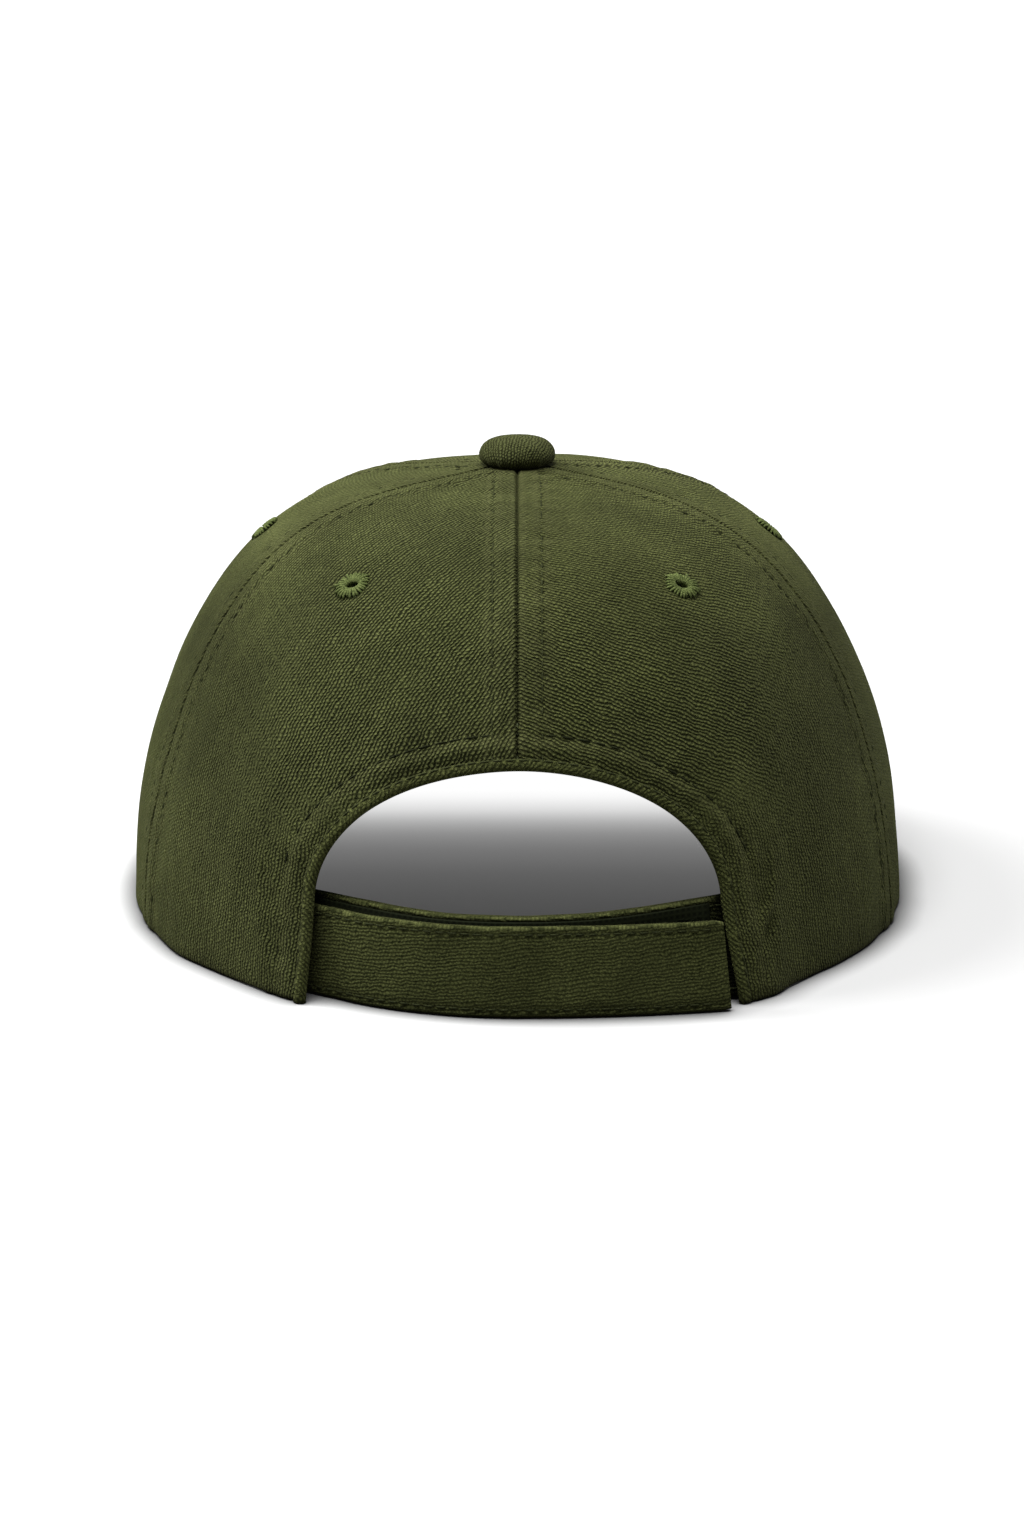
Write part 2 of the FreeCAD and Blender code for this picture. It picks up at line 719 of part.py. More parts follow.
def inner_strap():
    near, far = 0.0, INNER_STRAP_CLOTH
    bottom, top = INNER_STRAP_BOTTOM, STRAP_HEIGHT + INNER_STRAP_BOTTOM
    axis, along = hinge_axis(inner_strap_line, INNER_STRAP_HINGE_X, INNER_STRAP_CLOTH / 2)
    band = strip(inner_strap_line, INNER_STRAP_HINGE_X, INNER_STRAP_FREE_X, near, far, bottom, top)
    root = Part.makeCylinder(INNER_STRAP_CLOTH / 2, top - bottom, axis + UP * bottom)
    band = band.fuse(root).removeSplitter()
    anchor = strip(inner_strap_line, -ANCHOR_X, INNER_STRAP_HINGE_X, near, far, bottom, top, points=7)
    anchor = anchor.cut(swing_room(axis, along, INNER_STRAP_CLOTH, -INNER_STRAP_SWING_DEG))
    tape_near = far + LINING_GAP / 2
    tape = strip(
        inner_strap_line, -22.0, INNER_STRAP_FREE_X - 3, tape_near, tape_near + LOOP_TAPE,
        bottom + 2.0, top - 2.0,
    )
    return {"inner_strap": band, "inner_strap_anchor": anchor, "loop_tape": tape}


# --- assembly -----------------------------------------------------------------------------------
def build():
    seams = SEAM_ANGLES
    middles = panel_middles()
    nodes = crown_panels()
    nodes["front_left_buckram"] = buckram(seams["front"], seams["front_left"], middles["front_left"])
    nodes["front_right_buckram"] = buckram(
        seams["front_right"], seams["front"] + 360, middles["front_right"]
    )
    nodes.update(seam_tapes())
    nodes.update(sweatband())
    nodes.update(opening_edge())
    nodes["eyelets"] = eyelets()
    nodes.update(button())
    nodes.update(peak())
    nodes.update(outer_strap())
    nodes.update(inner_strap())
    return nodes


os.makedirs("parts", exist_ok=True)
for node_name, node_shape in build().items():
    node_shape.exportStep("parts/" + node_name + ".step")
    box = node_shape.BoundBox
    print(
        f"{node_name}: solids {len(node_shape.Solids)}, valid {node_shape.isValid()}, "
        f"volume {node_shape.Volume:.1f}, z {box.ZMin:.2f} to {box.ZMax:.2f}"
    )
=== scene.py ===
"""Visual model of the baseball cap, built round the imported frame.

Lengths are in millimetres until a mesh is made; mesh_piece() turns them into metres. The crown surface is
the one that the frame was built on: a polar angle round the button axis and a share from hem (0) to top (1).
"""
import json
import math
import random

import bpy
import numpy as np
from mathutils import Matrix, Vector, noise

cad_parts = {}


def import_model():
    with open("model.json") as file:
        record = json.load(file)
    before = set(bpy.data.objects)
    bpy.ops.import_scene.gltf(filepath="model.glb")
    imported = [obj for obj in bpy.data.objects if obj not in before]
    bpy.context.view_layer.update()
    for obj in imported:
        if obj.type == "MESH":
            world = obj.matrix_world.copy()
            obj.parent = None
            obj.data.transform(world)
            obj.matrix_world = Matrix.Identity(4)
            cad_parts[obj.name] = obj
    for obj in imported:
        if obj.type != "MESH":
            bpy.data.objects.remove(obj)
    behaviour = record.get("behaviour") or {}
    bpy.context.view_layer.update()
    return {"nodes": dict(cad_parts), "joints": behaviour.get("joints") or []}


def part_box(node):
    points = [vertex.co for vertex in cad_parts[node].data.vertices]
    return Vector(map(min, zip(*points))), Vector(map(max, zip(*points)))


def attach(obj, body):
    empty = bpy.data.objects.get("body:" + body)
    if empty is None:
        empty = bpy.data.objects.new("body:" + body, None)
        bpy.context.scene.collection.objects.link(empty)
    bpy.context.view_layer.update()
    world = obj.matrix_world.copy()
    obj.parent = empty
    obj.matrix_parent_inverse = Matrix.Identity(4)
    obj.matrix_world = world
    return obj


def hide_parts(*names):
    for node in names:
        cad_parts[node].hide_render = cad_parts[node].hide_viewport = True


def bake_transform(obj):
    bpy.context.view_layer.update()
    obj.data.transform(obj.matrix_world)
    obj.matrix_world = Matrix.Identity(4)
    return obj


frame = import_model()
random.seed(4)

MM = 0.001


def box_mm(node):
    low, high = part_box(node)
    return np.array(low) / MM, np.array(high) / MM


# --- driving dimensions, in millimetres ---
HALF_WIDTH = box_mm("side_left_panel")[1][0]
CROWN_HEIGHT = 95.6        # without the rise at its tip
TIP_RISE = 2.4
TIP_SPREAD = 18.2
REAR_DEPTH = 106.0
FRONT_DEPTH = 95.0
HEM_SQUARENESS = 2.1
TOP_SQUARENESS = 3.38
WALL_SQUARENESS = 1.76
CLOTH = 0.8
EYELET_SHARE = 0.488

SEAMS = {"front": -90.0, "front_left": -33.0, "rear_left": 25.0, "rear": 90.0, "rear_right": 155.0,
         "front_right": 213.0}
TOPSTITCH = 5.3            # from a seam to the row of stitches on each side of it
STITCH = 2.7               # one stitch and its gap
THREAD = 0.19              # radius of the sewing thread
RIB_PITCH = 0.93           # of the twill

ARCH_HALF_WIDTH = 43.6
ARCH_SPRING = 21.0
ARCH_RISE = 30.1
LEFT_FLARE, RIGHT_FLARE = 0.8, 2.2       # how far the legs of the opening spread apart at the hem
LEFT_SPLAY, RIGHT_SPLAY = 2.6, 3.8       # how far they stand out backwards at the hem
BINDING = 2.4              # width of the rolled edge of the opening
ARCH_ROW = 6.9             # second row of stitches round the opening
EDGE_TUCK = 0.5            # the panels stop this far from the edge, inside the rolled cloth
TIP_GAP = 2.6              # the panels stop this far from the button axis
EYELET_CUT = 1.6           # radius cut out of a panel for an eyelet
HEM_ROLL = 1.1             # height of the turned edge at the hem

PEAK_SPAN = 186.0
PEAK_ARCH = 16.0
PEAK_EDGE_TOP = 2.26
PEAK_DROOP = 0.04
PEAK_THICK = 3.5
PEAK_HALF_WIDTH = box_mm("peak_top_cover")[1][0]
PEAK_FRONT_Y = box_mm("peak_top_cover")[0][1]
PEAK_WIDEST_Y = -84.0
PEAK_SQUARENESS = 2.6
PEAK_CORNER = math.radians(31.0)


# --- the crown surface ---
def hem_radius(angle):
    """Distance of the hem from the button axis."""
    across, along = np.cos(angle), np.sin(angle)
    depth = np.where(along > 0, REAR_DEPTH, FRONT_DEPTH)
    total = np.abs(across / HALF_WIDTH) ** HEM_SQUARENESS + np.abs(along / depth) ** HEM_SQUARENESS
    return total ** (-1 / HEM_SQUARENESS)


def crown_point(angle, share, inset=0.0):
    """Points of the crown, moved inwards by inset along the upright profile's normal."""
    turn = np.pi / 2 * (1 - (1 - np.clip(share, 0, 1)) ** (TOP_SQUARENESS / 2))
    cosine = np.clip(np.cos(turn), 1e-9, 1)
    sine = np.clip(np.sin(turn), 1e-9, 1)
    reach = hem_radius(angle)
    radius = reach * cosine ** (2 / TOP_SQUARENESS)
    tip = TIP_RISE * np.exp(-(radius / TIP_SPREAD) ** 2)
    height = CROWN_HEIGHT * sine ** (2 / WALL_SQUARENESS) + tip
    fall = reach * (2 / TOP_SQUARENESS) * cosine ** (2 / TOP_SQUARENESS - 1) * sine
    climb = CROWN_HEIGHT * (2 / WALL_SQUARENESS) * sine ** (2 / WALL_SQUARENESS - 1) * cosine
    climb = climb + tip * 2 * radius / TIP_SPREAD ** 2 * fall
    length = np.hypot(fall, climb)
    radius = radius - inset * climb / length
    height = height - inset * fall / length
    return np.stack([radius * np.cos(angle), radius * np.sin(angle), height], -1)


def share_at_height(height):
    """Share of the crown's profile at a height."""
    turn = np.arcsin((np.clip(height, 0, CROWN_HEIGHT) / CROWN_HEIGHT) ** (WALL_SQUARENESS / 2))
    return 1 - (1 - 2 * turn / np.pi) ** (2 / TOP_SQUARENESS)


def share_at_radius(angle, radius):
    """Share of the crown's profile at a distance from the button axis."""
    turn = np.arccos(np.clip(radius / hem_radius(angle), 0, 1) ** (TOP_SQUARENESS / 2))
    return 1 - (1 - 2 * turn / np.pi) ** (2 / TOP_SQUARENESS)


def smoothstep(value, low, high):
    """0 up to low, rising smoothly to 1 at high."""
    share = np.clip((value - low) / (high - low), 0, 1)
    return share * share * (3 - 2 * share)


def fade(value, start, end):
    """1 up to the start, falling smoothly to 0 at the end."""
    return 1 - smoothstep(value, start, end)


def bell(value, centre, width):
    """1 at the centre, falling off smoothly on both sides."""
    return np.exp(-((value - centre) / width) ** 2)


def unit(vectors):
    """Vectors scaled to length 1."""
    return vectors / (np.linalg.norm(vectors, axis=-1, keepdims=True) + 1e-12)


def path_lengths(points):
    """Distance from the start of a path to each of its points."""
    return np.concatenate([[0], np.cumsum(np.linalg.norm(np.diff(points, axis=0), axis=1))])


def peak_top(x, y):
    """Height of the peak's upper face, arched from side to side."""
    wave = np.cos(np.pi * x / PEAK_SPAN)
    return PEAK_EDGE_TOP + PEAK_ARCH * wave + PEAK_DROOP * (y + FRONT_DEPTH)


def hem_height(angle):
    """The hem rises at the front to meet the underside of the peak."""
    radius = hem_radius(angle)
    x, y = radius * np.cos(angle), radius * np.sin(angle)
    return smoothstep(-y, -10.0, 48.0) * np.maximum(peak_top(x, y) - PEAK_THICK, 0)


def rear_depth(x, height):
    """How far back the crown's rear face lies at (x, height)."""
    share = np.clip(height / CROWN_HEIGHT, 0, 0.9999)
    scale = (1 - share ** WALL_SQUARENESS) ** (1 / TOP_SQUARENESS)
    ratio = np.clip(np.abs(x) / (HALF_WIDTH * scale), 0, 0.9999)
    return REAR_DEPTH * scale * (1 - ratio ** HEM_SQUARENESS) ** (1 / HEM_SQUARENESS)


def rear_surface(x, z):
    """Point of the crown's rear face over (x, z), and its outward normal."""
    step = 0.05
    height = np.clip(z, 0, None)
    above = np.clip(z + step, step, None)
    y = rear_depth(x, height)
    slope_x = (rear_depth(x + step, height) - rear_depth(x - step, height)) / (2 * step)
    slope_z = (rear_depth(x, above) - y) / (above - height)
    return np.stack([x, y, z], -1), unit(np.stack([-slope_x, np.ones_like(y), -slope_z], -1))


def arch_distance(x, z):
    """Distance from the edge of the rear opening into the cloth, and its direction in (x, z)."""
    rise = z - ARCH_SPRING
    level = np.sqrt((x / ARCH_HALF_WIDTH) ** 2 + (rise / ARCH_RISE) ** 2) + 1e-9
    grad_x = x / ARCH_HALF_WIDTH ** 2 / level
    grad_z = rise / ARCH_RISE ** 2 / level
    slope = np.hypot(grad_x, grad_z) + 1e-9
    over = (level - 1) / slope
    flare = np.where(x > 0, LEFT_FLARE, RIGHT_FLARE)
    leg_x = ARCH_HALF_WIDTH + flare * (ARCH_SPRING - z) / ARCH_SPRING
    tilt = np.hypot(1, flare / ARCH_SPRING)
    leg = (np.abs(x) - leg_x) / tilt
    above = rise >= 0
    direction_x = np.where(above, grad_x / slope, np.sign(x) / tilt)
    direction_z = np.where(above, grad_z / slope, flare / ARCH_SPRING / tilt)
    return np.where(above, over, leg), direction_x, direction_z


def noise_at(points, size, seed=0.0):
    """Smooth noise between about -1 and 1 at each point, with features of the given size in mm."""
    flat = points.reshape(-1, 3) / size + seed
    values = [noise.noise(Vector(p)) for p in flat]
    return np.array(values).reshape(points.shape[:-1])


def pairs(first, second):
    """Two coordinates side by side, as cloth coordinates."""
    return np.stack(np.broadcast_arrays(first, second), -1)


def ripple_at(first, second, key, seed=0.0):
    """The same noise over two cloth coordinates; key picks the pattern."""
    return noise_at(np.stack(np.broadcast_arrays(first, second, key), -1), 1.0, seed)


# --- meshes ---
class Builder:
    """Gathers vertices, faces, cloth coordinates, wear and material indices of one piece."""

    def __init__(self):
        self.points, self.faces, self.coords, self.worn, self.slots = [], [], [], [], []
        self.count = 0

    def add(self, points, faces, coords=None, slot=0, worn=None):
        """Adds a part; slot is the index of its material."""
        points = np.asarray(points, float).reshape(-1, 3)
        coords = np.zeros((len(points), 2)) if coords is None else np.asarray(coords, float).reshape(-1, 2)
        worn = np.zeros(len(points)) if worn is None else np.asarray(worn, float).ravel()
        self.points.append(points)
        self.coords.append(coords)
        self.worn.append(worn)
        self.faces += [tuple(i + self.count for i in face) for face in faces]
        self.slots += [slot] * len(faces)
        self.count += len(points)


def mesh_piece(name, builder, materials, cad=(), body="crown", thickness=0.0):
    """Makes the object in metres, with keys of MATERIALS. thickness grows the sheet inwards, as cloth."""
    mesh = bpy.data.meshes.new(name)
    points = np.concatenate(builder.points) * MM
    coords = np.concatenate(builder.coords)
    mesh.from_pydata(points.tolist(), [], builder.faces)
    layer = mesh.uv_layers.new(name="cloth_mm")
    corners = np.zeros(len(mesh.loops), int)
    mesh.loops.foreach_get("vertex_index", corners)
    layer.data.foreach_set("uv", coords[corners].ravel())
    wear = mesh.attributes.new("worn", "FLOAT", "POINT")
    wear.data.foreach_set("value", np.concatenate(builder.worn))
    for material in materials:
        mesh.materials.append(MATERIALS[material])
    mesh.polygons.foreach_set("material_index", builder.slots)
    mesh.polygons.foreach_set("use_smooth", [True] * len(mesh.polygons))
    mesh.update()
    piece = bpy.data.objects.new(name, mesh)
    bpy.context.scene.collection.objects.link(piece)
    if thickness:
        solidify = piece.modifiers.new("cloth", "SOLIDIFY")
        solidify.thickness = thickness * MM
        solidify.offset = -1
        solidify.use_even_offset = False
        bpy.context.view_layer.objects.active = piece
        apply_modifier(piece, solidify)
    if body:
        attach(piece, body)
    if cad:
        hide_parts(*cad)
    return piece


def apply_modifier(piece, modifier):
    with bpy.context.temp_override(object=piece, active_object=piece):
        bpy.ops.object.modifier_apply(modifier=modifier.name)


def grid_faces(columns, rows, wrap=False, keep=None):
    """Quads of a grid whose points run column by column; keep is a mask of the quads."""
    faces = []
    last = columns if wrap else columns - 1
    for column in range(last):
        following = (column + 1) % columns
        for row in range(rows - 1):
            if keep is None or keep[column, row]:
                faces.append((column * rows + row, following * rows + row,
                              following * rows + row + 1, column * rows + row + 1))
    return faces


def grid_normals(points):
    """Outward directions at the points of a grid."""
    return unit(np.cross(np.gradient(points, axis=0), np.gradient(points, axis=1)))


def ring_faces(stations, corners, wrap=False):
    """Quads between closed sections; wrap joins the last one to the first."""
    faces = []
    for station in range(stations if wrap else stations - 1):
        here, there = station * corners, (station + 1) % stations * corners
        for corner in range(corners):
            following = (corner + 1) % corners
            faces.append((here + corner, here + following, there + following, there + corner))
    return faces


def closed_sweep(builder, sections, coords=None, slot=0):
    """Tube through closed sections of equal size, with a cap at each end."""
    count, corners = np.shape(sections)[:2]
    faces = ring_faces(count, corners)
    faces.append(tuple(reversed(range(corners))))
    faces.append(tuple((count - 1) * corners + corner for corner in range(corners)))
    builder.add(sections, faces, coords, slot)


def resample(path, spacing):
    """Points along a path at an even spacing, with the path's own normals carried along."""
    points, normals = path
    lengths = path_lengths(points)
    count = max(int(lengths[-1] / spacing), 2)
    wanted = np.linspace(0, lengths[-1], count + 1)
    place = np.stack([np.interp(wanted, lengths, points[:, k]) for k in range(3)], -1)
    normal = np.stack([np.interp(wanted, lengths, normals[:, k]) for k in range(3)], -1)
    return place, unit(normal)


def add_tube(builder, centres, radii, slot=0, sides=6):
    """Round thread through a few centres."""
    centres = np.asarray(centres, float)
    tangents = unit(np.gradient(centres, axis=0))
    tilted = np.array([0.3, 0.2, 0.93])
    side = unit(np.cross(tangents, tilted))
    other = np.cross(tangents, side)
    turns = np.linspace(0, 2 * np.pi, sides, endpoint=False)
    ring = np.cos(turns)[None, :, None] * side[:, None] + np.sin(turns)[None, :, None] * other[:, None]
    sections = centres[:, None] + ring * np.asarray(radii)[:, None, None]
    closed_sweep(builder, sections, slot=slot)


def add_stitches(builder, path, slot=0, stitch=STITCH, radius=THREAD, proud=0.16):
    """Row of lockstitches: short threads that dive into the cloth at both ends."""
    rings, dive, stretched = 6, 0.22, 1.02
    places, normals = resample(path, stitch / rings)
    arched = np.sin(np.pi * np.linspace(0, 1, rings))
    rise = -dive + (proud + dive) * arched ** 0.6
    girth = radius * (0.62 + 0.38 * arched)
    for start in range(0, len(places) - rings, rings):
        span = slice(start, start + rings)
        thread = places[span] + normals[span] * rise[:, None]
        centre = thread.mean(0)
        add_tube(builder, centre + (thread - centre) * stretched, girth, slot)


# --- materials ---
class Value:
    """Output of a node; +, - and * make further nodes."""

    def __init__(self, nodes, socket):
        self.nodes, self.socket = nodes, socket

    def __add__(self, other):
        return self.nodes.math("ADD", self, other)

    def __sub__(self, other):
        return self.nodes.math("SUBTRACT", self, other)

    def __mul__(self, other):
        return self.nodes.math("MULTIPLY", self, other)

    def span(self, low, high, to_low=0.0, to_high=1.0):
        """The value's range from low to high laid over another range, and held at its ends."""
        inputs = {"Value": self, "From Min": low, "From Max": high, "To Min": to_low, "To Max": to_high}
        return self.nodes.node("ShaderNodeMapRange", inputs)


class Nodes:
    """Short names for building a node material."""

    def __init__(self, name):
        self.material = bpy.data.materials.new(name)
        self.material.use_nodes = True
        self.tree = self.material.node_tree
        self.shader = self.tree.nodes["Principled BSDF"]

    def node(self, kind, inputs=(), output=0, **settings):
        made = self.tree.nodes.new(kind)
        for key, value in settings.items():
            setattr(made, key, value)
        for key, value in dict(inputs).items():
            self.put(made.inputs[key], value)
        return Value(self, made.outputs[output])

    def put(self, socket, value):
        if isinstance(value, Value):
            self.tree.links.new(value.socket, socket)
        else:
            socket.default_value = value

    def math(self, operation, a, b=0.0):
        return self.node("ShaderNodeMath", {0: a, 1: b, 2: 0.0}, operation=operation)

    def square(self, value):
        return self.math("POWER", value, 2.0)

    def axes(self, vector):
        parts = self.node("ShaderNodeSeparateXYZ", {0: vector}).socket.node.outputs
        return [Value(self, part) for part in parts]

    def cloth_place(self):
        """Cloth coordinates, in mm."""
        return self.node("ShaderNodeTexCoord", output=2)

    def object_place(self):
        """Coordinates of the piece, in metres."""
        return self.node("ShaderNodeTexCoord", output=3)

    def open_sky(self, reach, **settings):
        """Share of the view within reach (mm) that nothing blocks, from 0 in a crevice to 1 in the open."""
        return self.node("ShaderNodeAmbientOcclusion", {"Distance": reach * MM}, output=1, **settings)

    def noise(self, vector, scale, detail=2.0, roughness=0.5):
        """Smooth noise; scale may be one number, or three to stretch it."""
        if isinstance(scale, tuple):
            vector, scale = self.node("ShaderNodeMapping", {"Vector": vector, "Scale": scale}), 1.0
        return self.node("ShaderNodeTexNoise", {"Vector": vector, "Scale": scale, "Detail": detail,
                                                "Roughness": roughness})

    def mix(self, share, a, b):
        return self.node("ShaderNodeMix", {0: share, 6: a, 7: b}, output=2, data_type="RGBA")

    def bump(self, height, strength, distance):
        inputs = {"Height": height, "Strength": strength, "Distance": distance * MM}
        return self.node("ShaderNodeBump", inputs)

    def finish(self, **inputs):
        for key, value in inputs.items():
            self.put(self.shader.inputs[key.replace("_", " ")], value)
        return self.material


def rgba(red, green, blue):
    return (red, green, blue, 1.0)


def weave_height(n, cloth, pitch, rib_deg, wobble):
    """Slanting ribs broken into staggered beads, between 0 and 1."""
    across, along, _ = n.axes(cloth)
    slant, turn, bead_pitch = math.radians(rib_deg), 2 * math.pi, 1.08 * pitch
    ribs = across * (math.cos(slant) / pitch) + along * (-math.sin(slant) / pitch)
    for scale, size in ((0.16, 1.0), (0.55, 0.55), (1.6, 0.22)):
        ribs = ribs + n.noise(cloth, scale, 2.0).span(0, 1, -size * wobble, size * wobble)
    yarns = across * (math.sin(slant) / bead_pitch) + along * (math.cos(slant) / bead_pitch)
    stagger = n.math("FLOOR", ribs + 0.5) * 0.43
    yarns = yarns + stagger + n.noise(cloth, 1.1, 2.0).span(0, 1, -0.35, 0.35)
    rib, bead = [n.math("COSINE", line * turn).span(-1, 1) for line in (ribs, yarns)]
    return n.math("POWER", rib, 0.8) * bead.span(0, 1, 0.40, 1.0)


def crown_zones(n, place):
    """Over the crown: distance to the side and height, both with a soft drift, the share of washed-out
    cloth (at the sides and the hem) and the share of painted shade (half way up the sides)."""
    x, _, z = n.axes(place)
    drift = n.noise(place, 45.0, 2.0).span(0, 1, -12 * MM, 12 * MM)
    sideways, level = n.math("ABSOLUTE", x) + drift, z + drift
    limp = n.math("MAXIMUM", sideways.span(46 * MM, 66 * MM), level.span(46 * MM, 30 * MM))
    # Painted shade: darker half way up the sides, fading out near the outline.
    half_way = z.span(18 * MM, 45 * MM) * z.span(84 * MM, 66 * MM)
    painted_side_shade = half_way * sideways.span(40 * MM, 62 * MM) * sideways.span(73 * MM, 86 * MM, 1.0, 0.45)
    return sideways, level, limp, painted_side_shade


def rubbed_colour(n, cloth, place, colour):
    """Cloth worn lighter along its edges and, in patches, all over."""
    worn = n.node("ShaderNodeAttribute", output=2, attribute_name="worn")
    edges = worn * n.noise(cloth, 0.8, 4.0, 0.7).span(0.35, 0.65, 0.1, 1.0)
    patches = n.noise(place, 60.0, 4.0, 0.65).span(0.42, 0.7) * 0.22
    return n.mix((edges + patches) * 0.5, colour, rgba(0.100, 0.103, 0.043))


def dye_value(n, cloth, place):
    """Brightness: clouds of uneven dye, and specks of lint."""
    cloud = n.noise(place, (66, 66, 40), 4.0, 0.6).span(0.3, 0.7, 0.76, 1.24)
    return cloud + n.noise(cloth, 2.3, 5.0, 0.85).span(0.63, 0.72, 0.0, 0.22)


def twill(name, rib_deg, light=(0.116, 0.130, 0.041), dark=(0.008, 0.010, 0.003), pitch=RIB_PITCH,
          contrast=1.0, wobble=1.0, limp_deg=None, painted_gap_shade=False):
    """Cotton twill with uneven dye and fuzz, and painted shade in its crevices. limp_deg is the slant of the
    finer, flatter cloth at the sides and along the hem of the crown, where the ribs have been washed out; a
    crown twill also gets painted shade half way up its sides and towards the hem, and a painted sheen where
    it turns away.
    painted_gap_shade paints dark shade on what is shut in."""
    n = Nodes(name)
    cloth, place = n.cloth_place(), n.object_place()
    weave = weave_height(n, cloth, pitch, rib_deg, wobble)
    crisp = n.noise(place, 40.0, 3.0, 0.6).span(0.3, 0.7, 0.7 * contrast, 1.15 * contrast)
    on_crown, mean_weave = limp_deg is not None, 0.42
    if on_crown:
        sideways, level, limp, painted_side_shade = crown_zones(n, place)
        fine = weave_height(n, cloth, 0.92 * pitch, limp_deg, 1.3)
        weave = n.node("ShaderNodeMix", {0: limp, 2: weave, 3: fine})
        crisp = crisp * limp.span(0, 1, 1.0, 0.85) * sideways.span(60 * MM, 84 * MM, 1.0, 0.75)
    weave = (weave - mean_weave) * crisp + mean_weave
    fibre, heather = n.noise(cloth, 2.8, 4.0, 0.75), n.noise(cloth, 1.15, 3.0, 0.7)
    tone = weave + fibre.span(0.25, 0.75, -0.20, 0.20) + heather.span(0.3, 0.7, -0.22, 0.22)
    height = weave + fibre * 0.35 + heather * 0.7
    value = dye_value(n, cloth, place)
    if on_crown:
        streak = n.noise(cloth, (0.62, 0.13, 1.0), 3.0, 0.6)
        tone = tone + streak.span(0.3, 0.7, -0.09, 0.09) * limp
        height = height + streak * limp * 0.6
        # Painted shade on the crown: the sides half way up, and the cloth darker towards the hem.
        value = value * painted_side_shade.span(0, 1, 1.0, 0.56) * level.span(38 * MM, 14 * MM, 1.0, 0.84)
    # Painted shade in crevices and under overlaps, from an occlusion node.
    value = value * n.open_sky(5, samples=5).span(0.30, 0.85, 0.30, 1.0)
    if on_crown:
        # Painted sheen: the crown's cloth is lighter where it turns away from the camera.
        painted_rim_sheen = n.node("ShaderNodeLayerWeight", {"Blend": 0.5}, output=1)
        value = value * painted_rim_sheen.span(0.62, 0.95, 1.0, 1.5)
    # Painted shade, darker still where other parts shut the cloth in, as between the straps.
    if painted_gap_shade:
        value = value * n.open_sky(14, samples=6).span(0.42, 0.78, 0.08, 1.0)
    # The colour runs from near black between the ribs to light on them: the twill's pattern, with painted
    # shade in its grooves.
    colour = rubbed_colour(n, cloth, place, n.mix(tone, rgba(*dark), rgba(*light)))
    colour = n.node("ShaderNodeHueSaturation", {"Value": value, "Color": colour})
    return n.finish(Base_Color=colour, Roughness=fibre.span(0, 1, 0.85, 1.0),
                    Normal=n.bump(height, 1.0, 0.55), Sheen_Weight=0.11, Sheen_Roughness=0.45,
                    Sheen_Tint=rgba(0.80, 0.84, 0.34), Specular_IOR_Level=0.05)


def thread_material(name, colour, shade):
    n = Nodes(name)
    twist = n.noise(n.object_place(), 2600.0, 2.0)
    mixed = n.mix(twist.span(0.3, 0.7), rgba(*shade), rgba(*colour))
    return n.finish(Base_Color=mixed, Roughness=0.85, Normal=n.bump(twist, 0.4, 0.05),
                    Specular_IOR_Level=0.08)


def crossed_bars(n, cloth, pitch, wave, low, high):
    """Bars in both directions of the cloth, as in a plain weave or a gauze."""
    across, along, _ = n.axes(cloth)
    bars = [n.math(wave, way * (2 * math.pi / pitch)).span(low, high) for way in (across, along)]
    return n.math("MAXIMUM", *bars)


def tape_material(name, light, dark, pitch=0.7, sheen=0.15):
    """Plain weave in both directions."""
    n = Nodes(name)
    cloth = n.cloth_place()
    tone = crossed_bars(n, cloth, pitch, "SINE", -1, 1) * 0.7 + n.noise(cloth, 4.0, 3.0, 0.7) * 0.4
    return n.finish(Base_Color=n.mix(tone, rgba(*dark), rgba(*light)), Roughness=0.9,
                    Normal=n.bump(tone, 0.5, 0.2), Sheen_Weight=sheen, Specular_IOR_Level=0.1)


def buckram_material():
    """Stiffened open gauze."""
    n = Nodes("buckram_gauze")
    cloth = n.cloth_place()
    thread = crossed_bars(n, cloth, 1.5, "COSINE", 0.1, 0.75)
    colour = n.mix(thread, rgba(0.28, 0.27, 0.23), rgba(0.74, 0.72, 0.66))
    return n.finish(Base_Color=colour, Roughness=n.noise(cloth, 3.0, 3.0, 0.7).span(0, 1, 0.55, 0.85),
                    Normal=n.bump(thread, 0.6, 0.3))


def metal_material():
    n = Nodes("pressed_steel")
    grain = n.noise(n.object_place(), (900, 900, 120), 3.0)
    return n.finish(Base_Color=n.mix(grain, rgba(0.36, 0.36, 0.37), rgba(0.62, 0.62, 0.63)), Metallic=1.0,
                    Roughness=grain.span(0, 1, 0.28, 0.5), Normal=n.bump(grain, 0.1, 0.05))


def board_material():
    n = Nodes("peak_board_plastic")
    mottle = n.noise(n.object_place(), 400.0, 4.0)
    return n.finish(Base_Color=n.mix(mottle, rgba(0.62, 0.62, 0.58), rgba(0.8, 0.8, 0.77)), Roughness=0.5,
                    Normal=n.bump(mottle, 0.2, 0.1))
